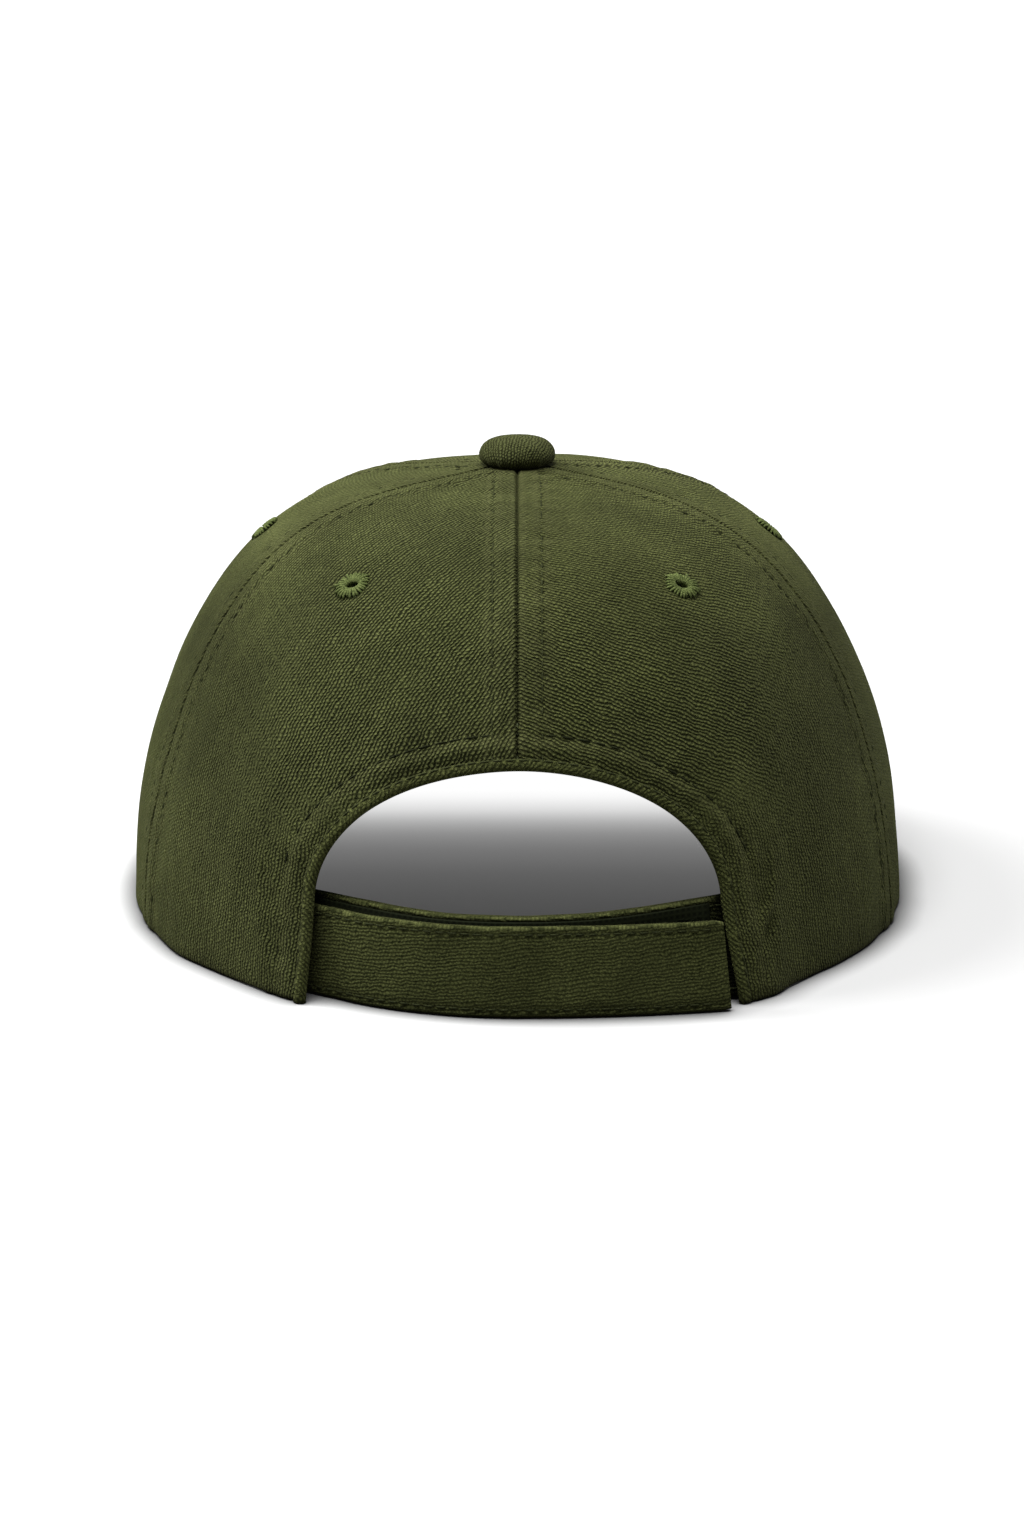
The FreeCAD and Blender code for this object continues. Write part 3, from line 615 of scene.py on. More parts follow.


# The straps' cloth is lighter than the crown's: painted light that makes up for the straps facing away from
# the lamps.
STRAP_CLOTH = {"light": (0.141, 0.155, 0.052), "dark": (0.014, 0.018, 0.005), "pitch": 0.80,
               "contrast": 0.75, "wobble": 1.1}
MATERIALS = {
    "left": twill("twill_left", 17.0, light=(0.122, 0.137, 0.046), pitch=0.89, contrast=1.3, limp_deg=4.0),
    "right": twill("twill_right", -62.0, pitch=0.86, contrast=1.2, limp_deg=-8.0),
    "strap": twill("twill_strap", 84.0, **STRAP_CLOTH),
    # The inner strap gets painted shade where the outer strap shuts it in.
    "inner": twill("twill_inner_strap", 84.0, painted_gap_shade=True, **STRAP_CLOTH),
    "binding": twill("twill_binding", 38.0, contrast=0.7, wobble=1.4),
    "button": twill("twill_button", 8.0, light=(0.126, 0.141, 0.049), pitch=0.75, wobble=1.3),
    "peak": twill("twill_peak", 40.0),
    "thread": thread_material("sewing_thread", (0.056, 0.062, 0.024), (0.018, 0.022, 0.008)),
    "row_thread": thread_material("row_thread", (0.026, 0.030, 0.011), (0.010, 0.012, 0.005)),
    "eyelet": thread_material("eyelet_thread", (0.165, 0.200, 0.066), (0.040, 0.055, 0.014)),
    # The eyelets' padding is near black: painted shade in the gaps between their threads.
    "eyelet_pad": thread_material("eyelet_padding", (0.030, 0.040, 0.010), (0.010, 0.014, 0.004)),
    "tape": tape_material("seam_tape_weave", (0.085, 0.1, 0.045), (0.02, 0.024, 0.01)),
    "band": tape_material("sweatband_cotton", (0.1, 0.115, 0.055), (0.035, 0.042, 0.018), pitch=0.9),
    # The loop tape is near black: a dark tape, darkened further as painted shade in the gap between the
    # straps.
    "loop": tape_material("loop_tape_pile", (0.011, 0.014, 0.005), (0.003, 0.004, 0.0015), pitch=1.3,
                          sheen=0.0),
    "hook": tape_material("hook_tape_nylon", (0.045, 0.055, 0.024), (0.015, 0.018, 0.008), pitch=1.6),
    "buckram": buckram_material(),
    "metal": metal_material(),
    "board": board_material(),
}


# --- crown panels ---
PANELS = {
    "front_left": ("front", "front_left", 0),
    "side_left": ("front_left", "rear_left", 0),
    "rear_left": ("rear_left", "rear", 0),
    "rear_right": ("rear", "rear_right", 0),
    "side_right": ("rear_right", "front_right", 0),
    "front_right": ("front_right", "front", 360),
}


def panel_span(name):
    """Polar angles of the seams at both sides of a panel."""
    start, end, turn = PANELS[name]
    return math.radians(SEAMS[start]), math.radians(SEAMS[end] + turn)


def eyelet_place(name):
    """Middle of a panel's eyelet, with the directions outwards and level along the cloth."""
    start, end = panel_span(name)
    angle = (start + end) / 2
    place = crown_point(angle, EYELET_SHARE)
    outward = unit(place - crown_point(angle, EYELET_SHARE, 1.0))
    return place, outward, np.array([-math.sin(angle), math.cos(angle), 0.0])


def seam_relief(distance, along):
    """Height of the cloth near a seam: a sharp valley, a raised allowance, a dent under the topstitching."""
    valley = -0.95 * bell(distance, 0, 0.42)
    allowance = 0.42 * fade(distance, TOPSTITCH - 0.2, TOPSTITCH + 1.8)
    beat = 0.60 + 0.40 * np.cos(2 * np.pi * along / STITCH)
    dent = -0.46 * beat * bell(distance, TOPSTITCH, 0.6)
    return valley + allowance + dent


def seam_wear(distance):
    """Where the cloth is rubbed lighter: the edge of a seam and the ridges by its stitches."""
    shoulders = bell(distance, TOPSTITCH - 1.3, 0.9) + bell(distance, TOPSTITCH + 1.2, 0.8)
    return 0.7 * bell(distance, 1.1, 0.9) + 0.6 * shoulders


def soft_folds(points):
    """Slow waves of limp cloth, stronger towards the hem."""
    low = fade(points[..., 2], 15.0, 85.0)
    stretched = points * np.array([1.0, 1.0, 0.45])
    wave = noise_at(stretched, 26.0, 3.1) * (0.35 + 1.1 * low)
    ripple = noise_at(stretched, 11.0, 7.7) * (0.10 + 0.35 * low)
    return wave + ripple + 0.35 * low


def splay(points):
    """Outward lean of the two legs of the rear opening."""
    beside = bell(np.abs(points[..., 0]), ARCH_HALF_WIDTH, 13.0)
    low = fade(points[..., 2], -4.0, 24.0)
    reach = np.where(points[..., 0] > 0, LEFT_SPLAY, RIGHT_SPLAY)
    return reach * low * beside * (points[..., 1] > 0)


def puckers(points, distance, along):
    """Small ripples where the thread draws the cloth in."""
    side = np.sign(points[..., 0]) * 7.0
    return 0.42 * ripple_at(along / 3.2, distance / 9.0, side, 1.3) * bell(distance, TOPSTITCH, 3.6)


def arch_puckers(points, arch):
    """Ripples along the edge of the opening, between its two rows of stitches and just past them."""
    x, height = points[..., 0], points[..., 2]
    turn = np.arctan2(height - ARCH_SPRING, x) * ARCH_HALF_WIDTH
    turn = np.where(height < ARCH_SPRING, np.sign(x) * (90.0 - height), turn)
    long_ripple = ripple_at(turn / 8.0, arch / 2.1, 4.0, 2.2)
    cross_ripple = ripple_at(turn / 2.6, arch / 6.0, 8.0, 5.2)
    near = bell(arch, ARCH_ROW - 1.0, 5.0)
    return near * (0.42 * long_ripple + 0.36 * cross_ripple) + leg_ripples(points, arch)


def leg_ripples(points, arch):
    """Slanting ripples in the legs of the opening, drawn in by the second row of stitches."""
    height = points[..., 2]
    across = 0.87 * arch - 0.5 * height
    down = 0.5 * arch + 0.87 * height
    slant = ripple_at(across / 1.7, down / 9.0, np.sign(points[..., 0]) * 5.0, 6.1)
    strip = bell(arch, ARCH_ROW + 0.12 * height, 3.4)
    fold = bell(arch, ARCH_ROW + 1.5 + 0.16 * height, 1.9)
    low = fade(height, 22.0, 40.0)
    return low * (0.60 * slant * strip + 0.55 * fold)


def arch_relief(points, arch):
    """Height of the cloth round the opening: dents along its two rows, flatter and softer in the legs."""
    firm = smoothstep(points[..., 2], 14.0, 40.0)
    right_leg = (1 - firm) * (points[..., 0] < 0)
    second_row = -(0.16 + 0.34 * firm) * bell(arch, ARCH_ROW, 0.6)
    between_rows = 0.22 * fade(arch, ARCH_ROW - 0.3, ARCH_ROW + 1.8)
    under_edge = -0.45 * fade(arch, BINDING - 0.7, BINDING + 0.2)
    groove = -(0.55 - 0.35 * right_leg) * bell(arch, BINDING + 0.35, 0.5)
    return arch_puckers(points, arch) + second_row + between_rows + under_edge + groove


def panel_relief(points, seam_distance, along, arch):
    """Height of the cloth over the smooth crown; arch is the distance from the opening, or None."""
    relief = seam_relief(seam_distance, along) + soft_folds(points) + puckers(points, seam_distance, along)
    if arch is not None:
        relief = (relief + arch_relief(points, arch)) * smoothstep(arch, -2.0, 1.5)
    return relief + splay(points)


def crown_height_along(share, angle):
    """Length along the crown from the hem, for cloth coordinates."""
    steps = np.linspace(0, 1, 120)
    return np.interp(share, steps, path_lengths(crown_point(angle, steps)))


def panel_grid(name):
    """Polar angles and shares of a panel's points; columns crowd at its seams, rows at its hem."""
    start, end = panel_span(name)
    columns, rows = (160, 210) if name.startswith("rear") else (130, 200)
    crowding = math.radians(82)
    spread = np.sin(np.linspace(-1, 1, columns) * crowding) / math.sin(crowding)
    angles = (start + end) / 2 + (end - start) / 2 * spread
    low, high = share_at_height(hem_height(angles)), share_at_radius(angles, TIP_GAP)
    steps = np.concatenate([[0.0, 0.0015, 0.0032, 0.0055], np.linspace(0.009, 1, rows - 4)])
    return np.repeat(angles[:, None], rows, 1), low[:, None] + (high - low)[:, None] * steps[None]


def quad_corners(values):
    """A grid's values at the four corners of each of its quads."""
    return [values[:-1, :-1], values[1:, :-1], values[:-1, 1:], values[1:, 1:]]


def cut_opening(points):
    """Distance of a panel's points from the rear opening, the points pulled on to its edge where they lie
    just inside it, and the quads that stay."""
    arch, slope_x, slope_z = arch_distance(points[..., 0], points[..., 2])
    arch = np.where(points[..., 1] > 0, arch, 99.0)
    inside = arch < EDGE_TUCK
    shift = np.where(inside, EDGE_TUCK - arch, 0.0)
    on_edge, _ = rear_surface(points[..., 0] + shift * slope_x, points[..., 2] + shift * slope_z)
    near = inside & (shift < 4.0)
    return arch, np.where(near[..., None], on_edge, points), np.max(quad_corners(arch), 0) > EDGE_TUCK


def panel(name):
    """One sewn panel of the crown, with its relief, worn edges, cut-out opening and eyelet hole."""
    angle, shares = panel_grid(name)
    start, end = panel_span(name)
    middle = (start + end) / 2
    points = crown_point(angle, shares)
    radius = np.hypot(points[..., 0], points[..., 1])
    seam_distance = radius * np.minimum(angle - start, end - angle)
    along = crown_height_along(shares, middle)
    over_hem = along - along[:, :1]
    wear = seam_wear(seam_distance) + 0.5 * bell(over_hem, 0.6, 0.6)
    arch, keep = None, True
    if name.startswith("rear"):
        arch, points, keep = cut_opening(points)
        wear = wear + 0.6 * bell(arch, ARCH_ROW - 1.3, 0.9)
    from_eyelet = np.linalg.norm(points - eyelet_place(name)[0], axis=-1)
    keep = keep & (np.min(quad_corners(from_eyelet), 0) > EYELET_CUT)
    drawn_in = 0.25 * np.exp(-(from_eyelet / 5.0) ** 6)
    turned_under = 1 - np.sqrt(1 - (1 - np.clip(over_hem / HEM_ROLL, 0, 1)) ** 2)
    relief = panel_relief(points, seam_distance, along, arch) - drawn_in - 0.7 * turned_under
    points = points + grid_normals(points) * relief[..., None]
    builder = Builder()
    coords = pairs(radius * (angle - middle), along)
    builder.add(points, grid_faces(*angle.shape, keep=keep), coords, worn=wear)
    drop_loose(builder)
    side = "left" if name.endswith("left") else "right"
    mesh_piece(name + "_panel_cloth", builder, [side], [name + "_panel"],
               thickness=CLOTH * 0.8)


def drop_loose(builder):
    """Removes the points that no face uses."""
    points, coords = np.concatenate(builder.points), np.concatenate(builder.coords)
    worn = np.concatenate(builder.worn)
    used = np.unique(np.array([i for face in builder.faces for i in face]))
    order = np.full(len(points), -1)
    order[used] = np.arange(len(used))
    builder.points, builder.coords, builder.worn = [points[used]], [coords[used]], [worn[used]]
    builder.faces = [tuple(int(order[i]) for i in face) for face in builder.faces]
    builder.count = len(used)


def seam_line(seam_deg, offset, low_share, high_radius=9.5, lift=0.0):
    """Path on the crown at a fixed distance to one side of a seam, with its normals."""
    seam = math.radians(seam_deg)
    shares = np.linspace(low_share, share_at_radius(seam, high_radius), 90)
    radius = np.linalg.norm(crown_point(seam, shares)[:, :2], axis=1)
    angles = seam + offset / radius
    points = crown_point(angles, shares)
    outward = unit(points - crown_point(angles, shares, 1.0))
    relief = soft_folds(points) + lift
    return points + outward * relief[:, None], outward


def seam_start(name):
    """Share at which the stitches of a seam begin, just above the hem or the opening."""
    if name == "rear":
        return share_at_height(ARCH_SPRING + ARCH_RISE + 0.8)
    return share_at_height(hem_height(math.radians(SEAMS[name]))) + 0.006


def crown_stitching():
    for name, seam_deg in SEAMS.items():
        builder = Builder()
        for side in (-TOPSTITCH, TOPSTITCH):
            add_stitches(builder, seam_line(seam_deg, side, seam_start(name), lift=0.02))
        mesh_piece(name + "_seam_stitches", builder, ["thread"])


for panel_name in PANELS:
    panel(panel_name)
crown_stitching()


# --- rear opening ---
def arch_path(offset=0.0, spacing=0.7):
    """(x, z) points round the opening, grown by offset, from the wearer's left foot to the right."""
    half, rise = ARCH_HALF_WIDTH + offset, ARCH_RISE + offset
    turns = np.linspace(0, np.pi, 200)
    arc = np.stack([half * np.cos(turns), ARCH_SPRING + rise * np.sin(turns)], -1)
    feet = np.array([[half + LEFT_FLARE, 0.0], [-half - RIGHT_FLARE, 0.0]])
    line = np.concatenate([feet[:1], arc, feet[1:]])
    lengths = path_lengths(line)
    wanted = np.linspace(0, lengths[-1], int(lengths[-1] / spacing))
    return np.interp(wanted, lengths, line[:, 0]), np.interp(wanted, lengths, line[:, 1]), wanted


def arch_frame(offset=0.0):
    """Points, normals and outward in-cloth directions round the opening, and the way along it."""
    x, z, along = arch_path(offset)
    points, normals = rear_surface(x, z)
    _, slope_x, slope_z = arch_distance(x, z)
    away = np.stack([slope_x, np.zeros_like(x), slope_z], -1)
    away -= normals * (away * normals).sum(-1, keepdims=True)
    return points, normals, unit(away), along


def binding_fullness(points, along):
    """How far the rolled edge swells: more in the legs, less in the right one."""
    height = points[:, 2]
    full = 1.6 - 0.5 * smoothstep(height, 12.0, 44.0)
    full = full - 0.7 * fade(height, 12.0, 34.0) * (points[:, 0] < 0)
    return full + 0.22 * ripple_at(along / 4.0, 0.0, 5.0)


def binding():
    """Bias cloth rolled over the edge of the opening."""
    points, normals, away, along = arch_frame()
    across, out = np.array([
        (2.45, -0.10), (2.42, 0.16), (2.1, 0.30), (1.5, 0.44), (0.8, 0.42), (0.25, 0.22), (-0.05, -0.15),
        (-0.12, -0.62), (0.02, -1.05), (0.45, -1.35), (1.2, -1.5), (2.2, -1.48), (2.4, -1.3),
        (2.3, -1.02), (0.55, -0.98), (0.5, -0.1)]).T
    folds = soft_folds(points)
    full = np.where(out > 0, binding_fullness(points, along)[:, None], 1.0)
    level = out * full + folds[:, None] * 0.9 * np.where(out > -0.2, 1, 0.8) * 0.5
    points = points + normals * splay(points)[:, None]
    reach = across + 0.12 * ripple_at(along / 15.0, 0.0, 9.0)[:, None]
    sections = points[:, None] + away[:, None] * reach[..., None] + normals[:, None] * level[..., None]
    builder = Builder()
    closed_sweep(builder, sections, pairs(along[:, None], across + out))
    row = points + away * 2.1 + normals * (0.33 + 0.45 * folds[:, None])
    add_stitches(builder, (row[3:-3], normals[3:-3]), slot=1, proud=0.1)
    mesh_piece("opening_rolled_edge", builder, ["binding", "thread"], ["opening_binding"])


def arch_row():
    """Second row of stitches, set back from the edge of the opening."""
    points, normals, _, _ = arch_frame(ARCH_ROW)
    builder = Builder()
    sunk = 0.15 + 0.26 * fade(points[:, 2], 14.0, 40.0)
    row = points + normals * (soft_folds(points) + splay(points) - sunk)[:, None]
    add_stitches(builder, (row[2:-2], normals[2:-2]), stitch=3.4, radius=0.19, proud=0.09)
    mesh_piece("opening_row_stitches", builder, ["row_thread"])


def facing():
    """Strip of cloth behind the edge of the opening."""
    columns, depth = 150, 0.95
    grid, coords = [], []
    for step in np.linspace(0.9, 9.2, 8):
        path = arch_path(step, 1.2)
        pick = np.linspace(0, len(path[0]) - 1, columns)
        x, z, along = [np.interp(pick, np.arange(len(values)), values) for values in path]
        points, normals = rear_surface(x, z)
        lift = soft_folds(points) + splay(points) - depth - 0.1 * np.sin(np.pi * step / 9)
        grid.append(points + normals * lift[:, None])
        coords.append(pairs(along, step))
    grid = np.stack(grid, 1)[::-1]
    builder = Builder()
    builder.add(grid, grid_faces(*grid.shape[:2]), np.stack(coords, 1)[::-1])
    mesh_piece("opening_facing_cloth", builder, ["tape"], ["opening_facing"],
               thickness=0.4)


binding()
arch_row()
facing()


# --- eyelets ---
def oval(turn, long_radius, short_radius):
    """Radius of an ellipse at a turn from its long axis."""
    across, along = long_radius * math.sin(turn), short_radius * math.cos(turn)
    return long_radius * short_radius / math.hypot(along, across)


def spoke_points(axes, turn, profile):
    """Points at (radius, height) round an eyelet, on the spoke at the given turn."""
    place, outward, level = axes
    spoke = level * math.cos(turn) + np.cross(outward, level) * math.sin(turn)
    return [place + spoke * radius + outward * height for radius, height in profile]


def eyelet(name):
    """Ring of satin stitches through the cloth, on both faces, over a soft pad."""
    place, outward, level = eyelet_place(name)
    axes = place + outward * float(soft_folds(place[None])[0]), outward, level
    lining = 0.7 if name.startswith("front") else 0.0
    back = -CLOTH - lining - 0.1
    builder = Builder()
    threads, stations = 26, 48
    hole_long, hole_short, tilt = 1.5, 1.0, math.radians(25 if place[0] > 0 else -25)
    for index in range(threads):
        turn = 2 * math.pi * (index + random.uniform(-0.16, 0.16)) / threads
        inner = oval(turn - tilt, hole_long, hole_short)
        outer = oval(turn - tilt, 4.15, 3.6) + random.uniform(-0.35, 0.35)
        middle = (inner + outer) / 2
        front = [(inner - 0.05, -0.7), (inner + 0.02, 0.18), (inner + 0.4, 0.46), (middle, 0.50),
                 (outer - 0.45, 0.30), (outer, -0.22)]
        add_tube(builder, spoke_points(axes, turn, front), [0.20, 0.25, 0.28, 0.30, 0.30, 0.18])
        rear = [(inner - 0.05, -0.6), (inner + 0.1, back - 0.15), (middle, back - 0.3),
                (outer - 0.7, back + 0.1)]
        add_tube(builder, spoke_points(axes, turn, rear), np.full(4, 0.22))
    pad = []
    for turn in np.linspace(0, 2 * np.pi, stations, endpoint=False):
        inner = oval(turn - tilt, hole_long, hole_short)
        profile = [(inner, 0.0), (inner + 0.5, 0.10), (3.1, 0.0), (3.3, -0.2), (inner + 0.2, -0.35)]
        pad.append(spoke_points(axes, turn, profile))
    builder.add(pad, ring_faces(stations, len(profile), wrap=True), slot=1)
    cad = ["eyelets"] if name == "rear_left" else []
    mesh_piece(name + "_eyelet", builder, ["eyelet", "eyelet_pad"], cad)


for panel_name in PANELS:
    eyelet(panel_name)


# --- button ---
def button():
    """Covered dome, with the cloth gathered under its rim."""
    low, high = box_mm("button_cover")
    radius, base, top = 1.04 * high[0], low[2], high[2]
    profile = np.array([
        (0.0, 1.0), (0.28, 0.99), (0.48, 0.965), (0.65, 0.915), (0.79, 0.83), (0.90, 0.71), (0.97, 0.57),
        (1.0, 0.42), (0.99, 0.27), (0.94, 0.13), (0.86, 0.03), (0.76, -0.03), (0.60, -0.04)])
    rows, columns = 60, 144
    wanted, knots = np.linspace(0, 1, rows), np.linspace(0, 1, len(profile))
    ring_radius = radius * np.interp(wanted, knots, profile[:, 0])
    height = base + (top - base) * np.interp(wanted, knots, profile[:, 1])
    kernel = np.array([1, 2, 3, 2, 1]) / 9
    ring_radius[2:-2] = np.convolve(ring_radius, kernel, "valid")
    height[2:-2] = np.convolve(height, kernel, "valid")
    arc = path_lengths(np.stack([ring_radius, height], -1))
    turns = np.linspace(0, 2 * np.pi, columns, endpoint=False)
    around = np.stack([np.cos(turns), np.sin(turns)], -1)[:, None]
    gather = smoothstep(arc / arc[-1], 0.55, 1.0)
    wave = 1 + gather * 0.028 * (np.cos(17 * turns) + 0.6 * np.sin(29 * turns + 1))[:, None]
    spread = np.maximum(ring_radius, 0.02) * wave
    points = np.concatenate([spread[..., None] * around, np.tile(height[:, None], (columns, 1, 1))], -1)
    points[..., 2] += noise_at(points, 5.0, 2.0) * 0.10
    builder = Builder()
    faces = [face[::-1] for face in grid_faces(columns, rows, wrap=True)]
    builder.add(points, faces, arc[:, None] * around)
    mesh_piece("button_cloth", builder, ["button"], ["button_cover"], thickness=0.45)


button()


# --- lining pieces ---
def buckram(name):
    """Stiff gauze behind a front panel, clear of its seams and with a hole for its eyelet."""
    start, end = panel_span(name)
    columns, rows, seam_gap, hole = 40, 60, 0.006, 1.8
    angles = np.linspace(start + seam_gap, end - seam_gap, columns)
    low = share_at_height(hem_height(angles)) + 0.02
    high = share_at_radius(angles, 18.0)
    shares = low[:, None] + (high - low)[:, None] * np.linspace(0, 1, rows)
    angle = np.repeat(angles[:, None], rows, 1)
    points = crown_point(angle, shares, CLOTH + 0.1)
    points += grid_normals(points) * soft_folds(crown_point(angle, shares))[..., None]
    radius = np.hypot(points[..., 0], points[..., 1])
    distance = np.linalg.norm(points - eyelet_place(name)[0], axis=-1)
    keep = np.minimum(distance[:-1, :-1], distance[1:, 1:]) > hole
    builder = Builder()
    builder.add(points, grid_faces(columns, rows, keep=keep),
                pairs(radius * (angle - (start + end) / 2), crown_height_along(shares, start)))
    drop_loose(builder)
    mesh_piece(name + "_buckram_gauze", builder, ["buckram"], [name + "_buckram"],
               thickness=0.4)


def seam_tape(name, layer):
    """Tape over the raw edges inside one seam, arched between its two rows of stitches."""
    seam = math.radians(SEAMS[name])
    rows, half_width = 80, 7.0
    low = share_at_height(hem_height(seam)) + 0.01
    if name == "rear":
        low = share_at_height(ARCH_SPRING + ARCH_RISE + 10.0)
    shares = np.linspace(low, share_at_radius(seam, 5.0), rows)
    centre_radius = np.linalg.norm(crown_point(seam, shares)[:, :2], axis=1)
    across = np.linspace(-half_width, half_width, 11)
    lap = 0.22 * layer * fade(centre_radius, 9.0, 22.0)
    grid = []
    for offset in across:
        angles = seam + np.arctan(offset / centre_radius)
        bulge = 0.35 * math.cos(math.pi * offset / 16) ** 2
        inset = 1.65 + bulge + lap - soft_folds(crown_point(angles, shares))
        grid.append(crown_point(angles, shares, inset))
    grid = np.stack(grid, 0)
    builder = Builder()
    builder.add(grid, grid_faces(*grid.shape[:2]), pairs(across[:, None], crown_height_along(shares, seam)))
    inward = -grid_normals(grid)
    for column in (1, -2):
        line = grid[column] + inward[column] * 0.42
        add_stitches(builder, (line, inward[column]), slot=1, proud=0.14)
    mesh_piece(name + "_seam_tape_weave", builder, ["tape", "thread"], [name + "_seam_tape"])


def sweatband():
    """Padded band folded over its core, stitched along the hem and under the fold."""
    half_gap, fold_row, hem_row = 61.0, 9, 15
    end = 0.9
    for _ in range(30):
        end = math.acos(half_gap / hem_radius(end))
    angles = np.linspace(end, -math.pi - end, 420)
    height, depth = np.array([
        (0.3, 0.0), (8.0, 0.0), (16.0, 0.0), (24.0, 0.0), (30.5, 0.1), (31.7, 0.5), (32.0, 1.0), (31.6, 1.5),
        (30.0, 1.75), (28.6, 1.62), (27.0, 1.85), (22.0, 2.1), (16.0, 2.15), (9.0, 2.0), (4.5, 1.7),
        (3.2, 1.5), (1.6, 1.6), (0.5, 1.4), (0.3, 0.8)]).T
    along = np.concatenate([[0], np.abs(np.diff(angles)) * 95.0]).cumsum()[:, None]
    angles = np.repeat(angles[:, None], len(height), 1)
    share = share_at_height(hem_height(angles) + height)
    folds = np.minimum(soft_folds(crown_point(angles, share)), 0)
    wrinkle = ripple_at(along / 9.0, height / 14.0, 0.0, 4.4)
    sections = crown_point(angles, share, 2.5 + depth * (1 + 0.16 * wrinkle) - 0.6 * folds)
    builder = Builder()
    closed_sweep(builder, sections, pairs(along, height + depth))
    for corner in (fold_row, hem_row):
        line = sections[:, corner]
        inward = unit(line - sections[:, 2])
        add_stitches(builder, (line[4:-4], inward[4:-4]), slot=1)
    mesh_piece("sweatband_padded", builder, ["band", "thread"], ["sweatband_cover", "sweatband_core"])


for panel_name in ("front_left", "front_right"):
    buckram(panel_name)
for tape_layer, tape_name in enumerate(SEAMS):
    seam_tape(tape_name, tape_layer)
sweatband()


# --- peak ---
PEAK_ROW_START, PEAK_ROW_STEP = 5.0, 8.0
PEAK_ROWS = PEAK_ROW_START + PEAK_ROW_STEP * np.arange(7)      # distances from the outer edge


def peak_outer(margin=0.0, count=240):
    """Outer edge of the peak seen from above, from the wearer's left corner round the front."""
    corner_radius = hem_radius(-PEAK_CORNER) + 0.25
    corner_x = corner_radius * math.cos(PEAK_CORNER) + 0.3
    corner_y = -corner_radius * math.sin(PEAK_CORNER)
    reach = PEAK_WIDEST_Y - PEAK_FRONT_Y
    back = np.linspace(1, 0, 40)[:-1]
    side = np.stack([PEAK_HALF_WIDTH - (PEAK_HALF_WIDTH - corner_x) * back ** 2,
                     PEAK_WIDEST_Y + (corner_y - PEAK_WIDEST_Y) * back], -1)
    turns = np.linspace(0, np.pi / 2, 90)
    front = np.stack([PEAK_HALF_WIDTH * np.cos(turns) ** (2 / PEAK_SQUARENESS),
                      PEAK_WIDEST_Y - reach * np.sin(turns) ** (2 / PEAK_SQUARENESS)], -1)
    half = np.concatenate([side, front])
    line = np.concatenate([half, half[-2::-1] * [-1, 1]])
    lengths = path_lengths(line)
    wanted = np.linspace(0, lengths[-1], count)
    line = np.stack([np.interp(wanted, lengths, line[:, k]) for k in (0, 1)], -1)
    tangent = unit(np.gradient(line, axis=0))
    inward = np.stack([tangent[:, 1], -tangent[:, 0]], -1)
    return line + inward * margin, inward


def peak_inner(count=240, gap=0.25):
    """Edge of the peak along the crown."""
    angles = np.linspace(-PEAK_CORNER, -np.pi + PEAK_CORNER, count)
    share = share_at_height(hem_height(angles) + PEAK_THICK / 2)
    return crown_point(angles, share, -gap)[:, :2]


def at_height(flat, height):
    """Points over flat (x, y) places."""
    return np.concatenate([flat, height[..., None]], -1)


def turned_rim(outer, inward, rim, lift, tuck=1.2):
    """The top cover's edge, rolled down round the rim and tucked in under it, and its cloth coordinates."""
    turned, laid = [], []
    for turn in np.linspace(0.35, math.pi, 9):
        spot = outer - inward * rim * math.sin(turn)
        turned.append(at_height(spot, peak_top(*spot.T) - rim * (1 - math.cos(turn)) + lift))
        laid.append(outer - inward * rim * turn)
    spot = outer + inward * tuck
    turned.append(at_height(spot, peak_top(*spot.T) - 2 * rim + lift))
    laid.append(outer - inward * (rim * math.pi + tuck))
    return np.stack(turned, 1), np.stack(laid, 1)


def peak_sheet(side, lift, margin, rim=0.0):
    """One cover of the peak. rim is the radius that the cover turns down by at the edge, or 0."""
    count, rows = 240, 60
    face = 1 if side == "top" else -1
    outer, inward = peak_outer(margin, count)
    share = np.linspace(0, 1, rows)[:, None]
    flat = peak_inner(count)[:, None] * (1 - share) + outer[:, None] * share
    edge_line = peak_outer(0.0, 400)[0][::2]
    nearest = np.min(np.linalg.norm(flat[:, :, None] - edge_line, axis=-1), -1)
    groove = bell(nearest[..., None], PEAK_ROWS, 0.7).sum(-1)
    quilt = 0.16 * np.abs(np.sin(np.pi * (nearest - PEAK_ROW_START) / PEAK_ROW_STEP))
    swell = face * (quilt - 0.22 * groove) * smoothstep(nearest, 1.0, 4.0)
    points, coords = at_height(flat, peak_top(flat[..., 0], flat[..., 1]) + lift + swell), flat
    if rim:
        turned, laid = turned_rim(outer, inward, rim, lift)
        points, coords = np.concatenate([points, turned], 1), np.concatenate([coords, laid], 1)
    faces = grid_faces(*points.shape[:2])
    builder = Builder()
    builder.add(points, faces if face > 0 else [corners[::-1] for corners in faces], coords)
    mesh_piece("peak_" + side + "_cloth", builder, ["peak"], ["peak_" + side + "_cover"],
               thickness=0.55)
    peak_stitches(side, lift, face)


def peak_stitches(side, lift, face):
    """Rows of stitches that follow the outer edge and stop short of the crown."""
    clearance, sunk, fewest = 1.5, 0.06, 12
    builder = Builder()
    for distance in PEAK_ROWS:
        line, _ = peak_outer(distance, 400)
        angles = np.arctan2(line[:, 1], line[:, 0])
        limit = np.interp(np.abs(angles + np.pi / 2), *inner_reach())
        line = line[np.hypot(*line.T) > limit + clearance]
        if len(line) >= fewest:
            up = np.tile([0.0, 0.0, face], (len(line), 1))
            places = at_height(line, peak_top(*line.T) + lift - sunk * face)
            add_stitches(builder, (places, up), proud=0.12, stitch=3.0)
    mesh_piece("peak_" + side + "_stitches", builder, ["thread"])


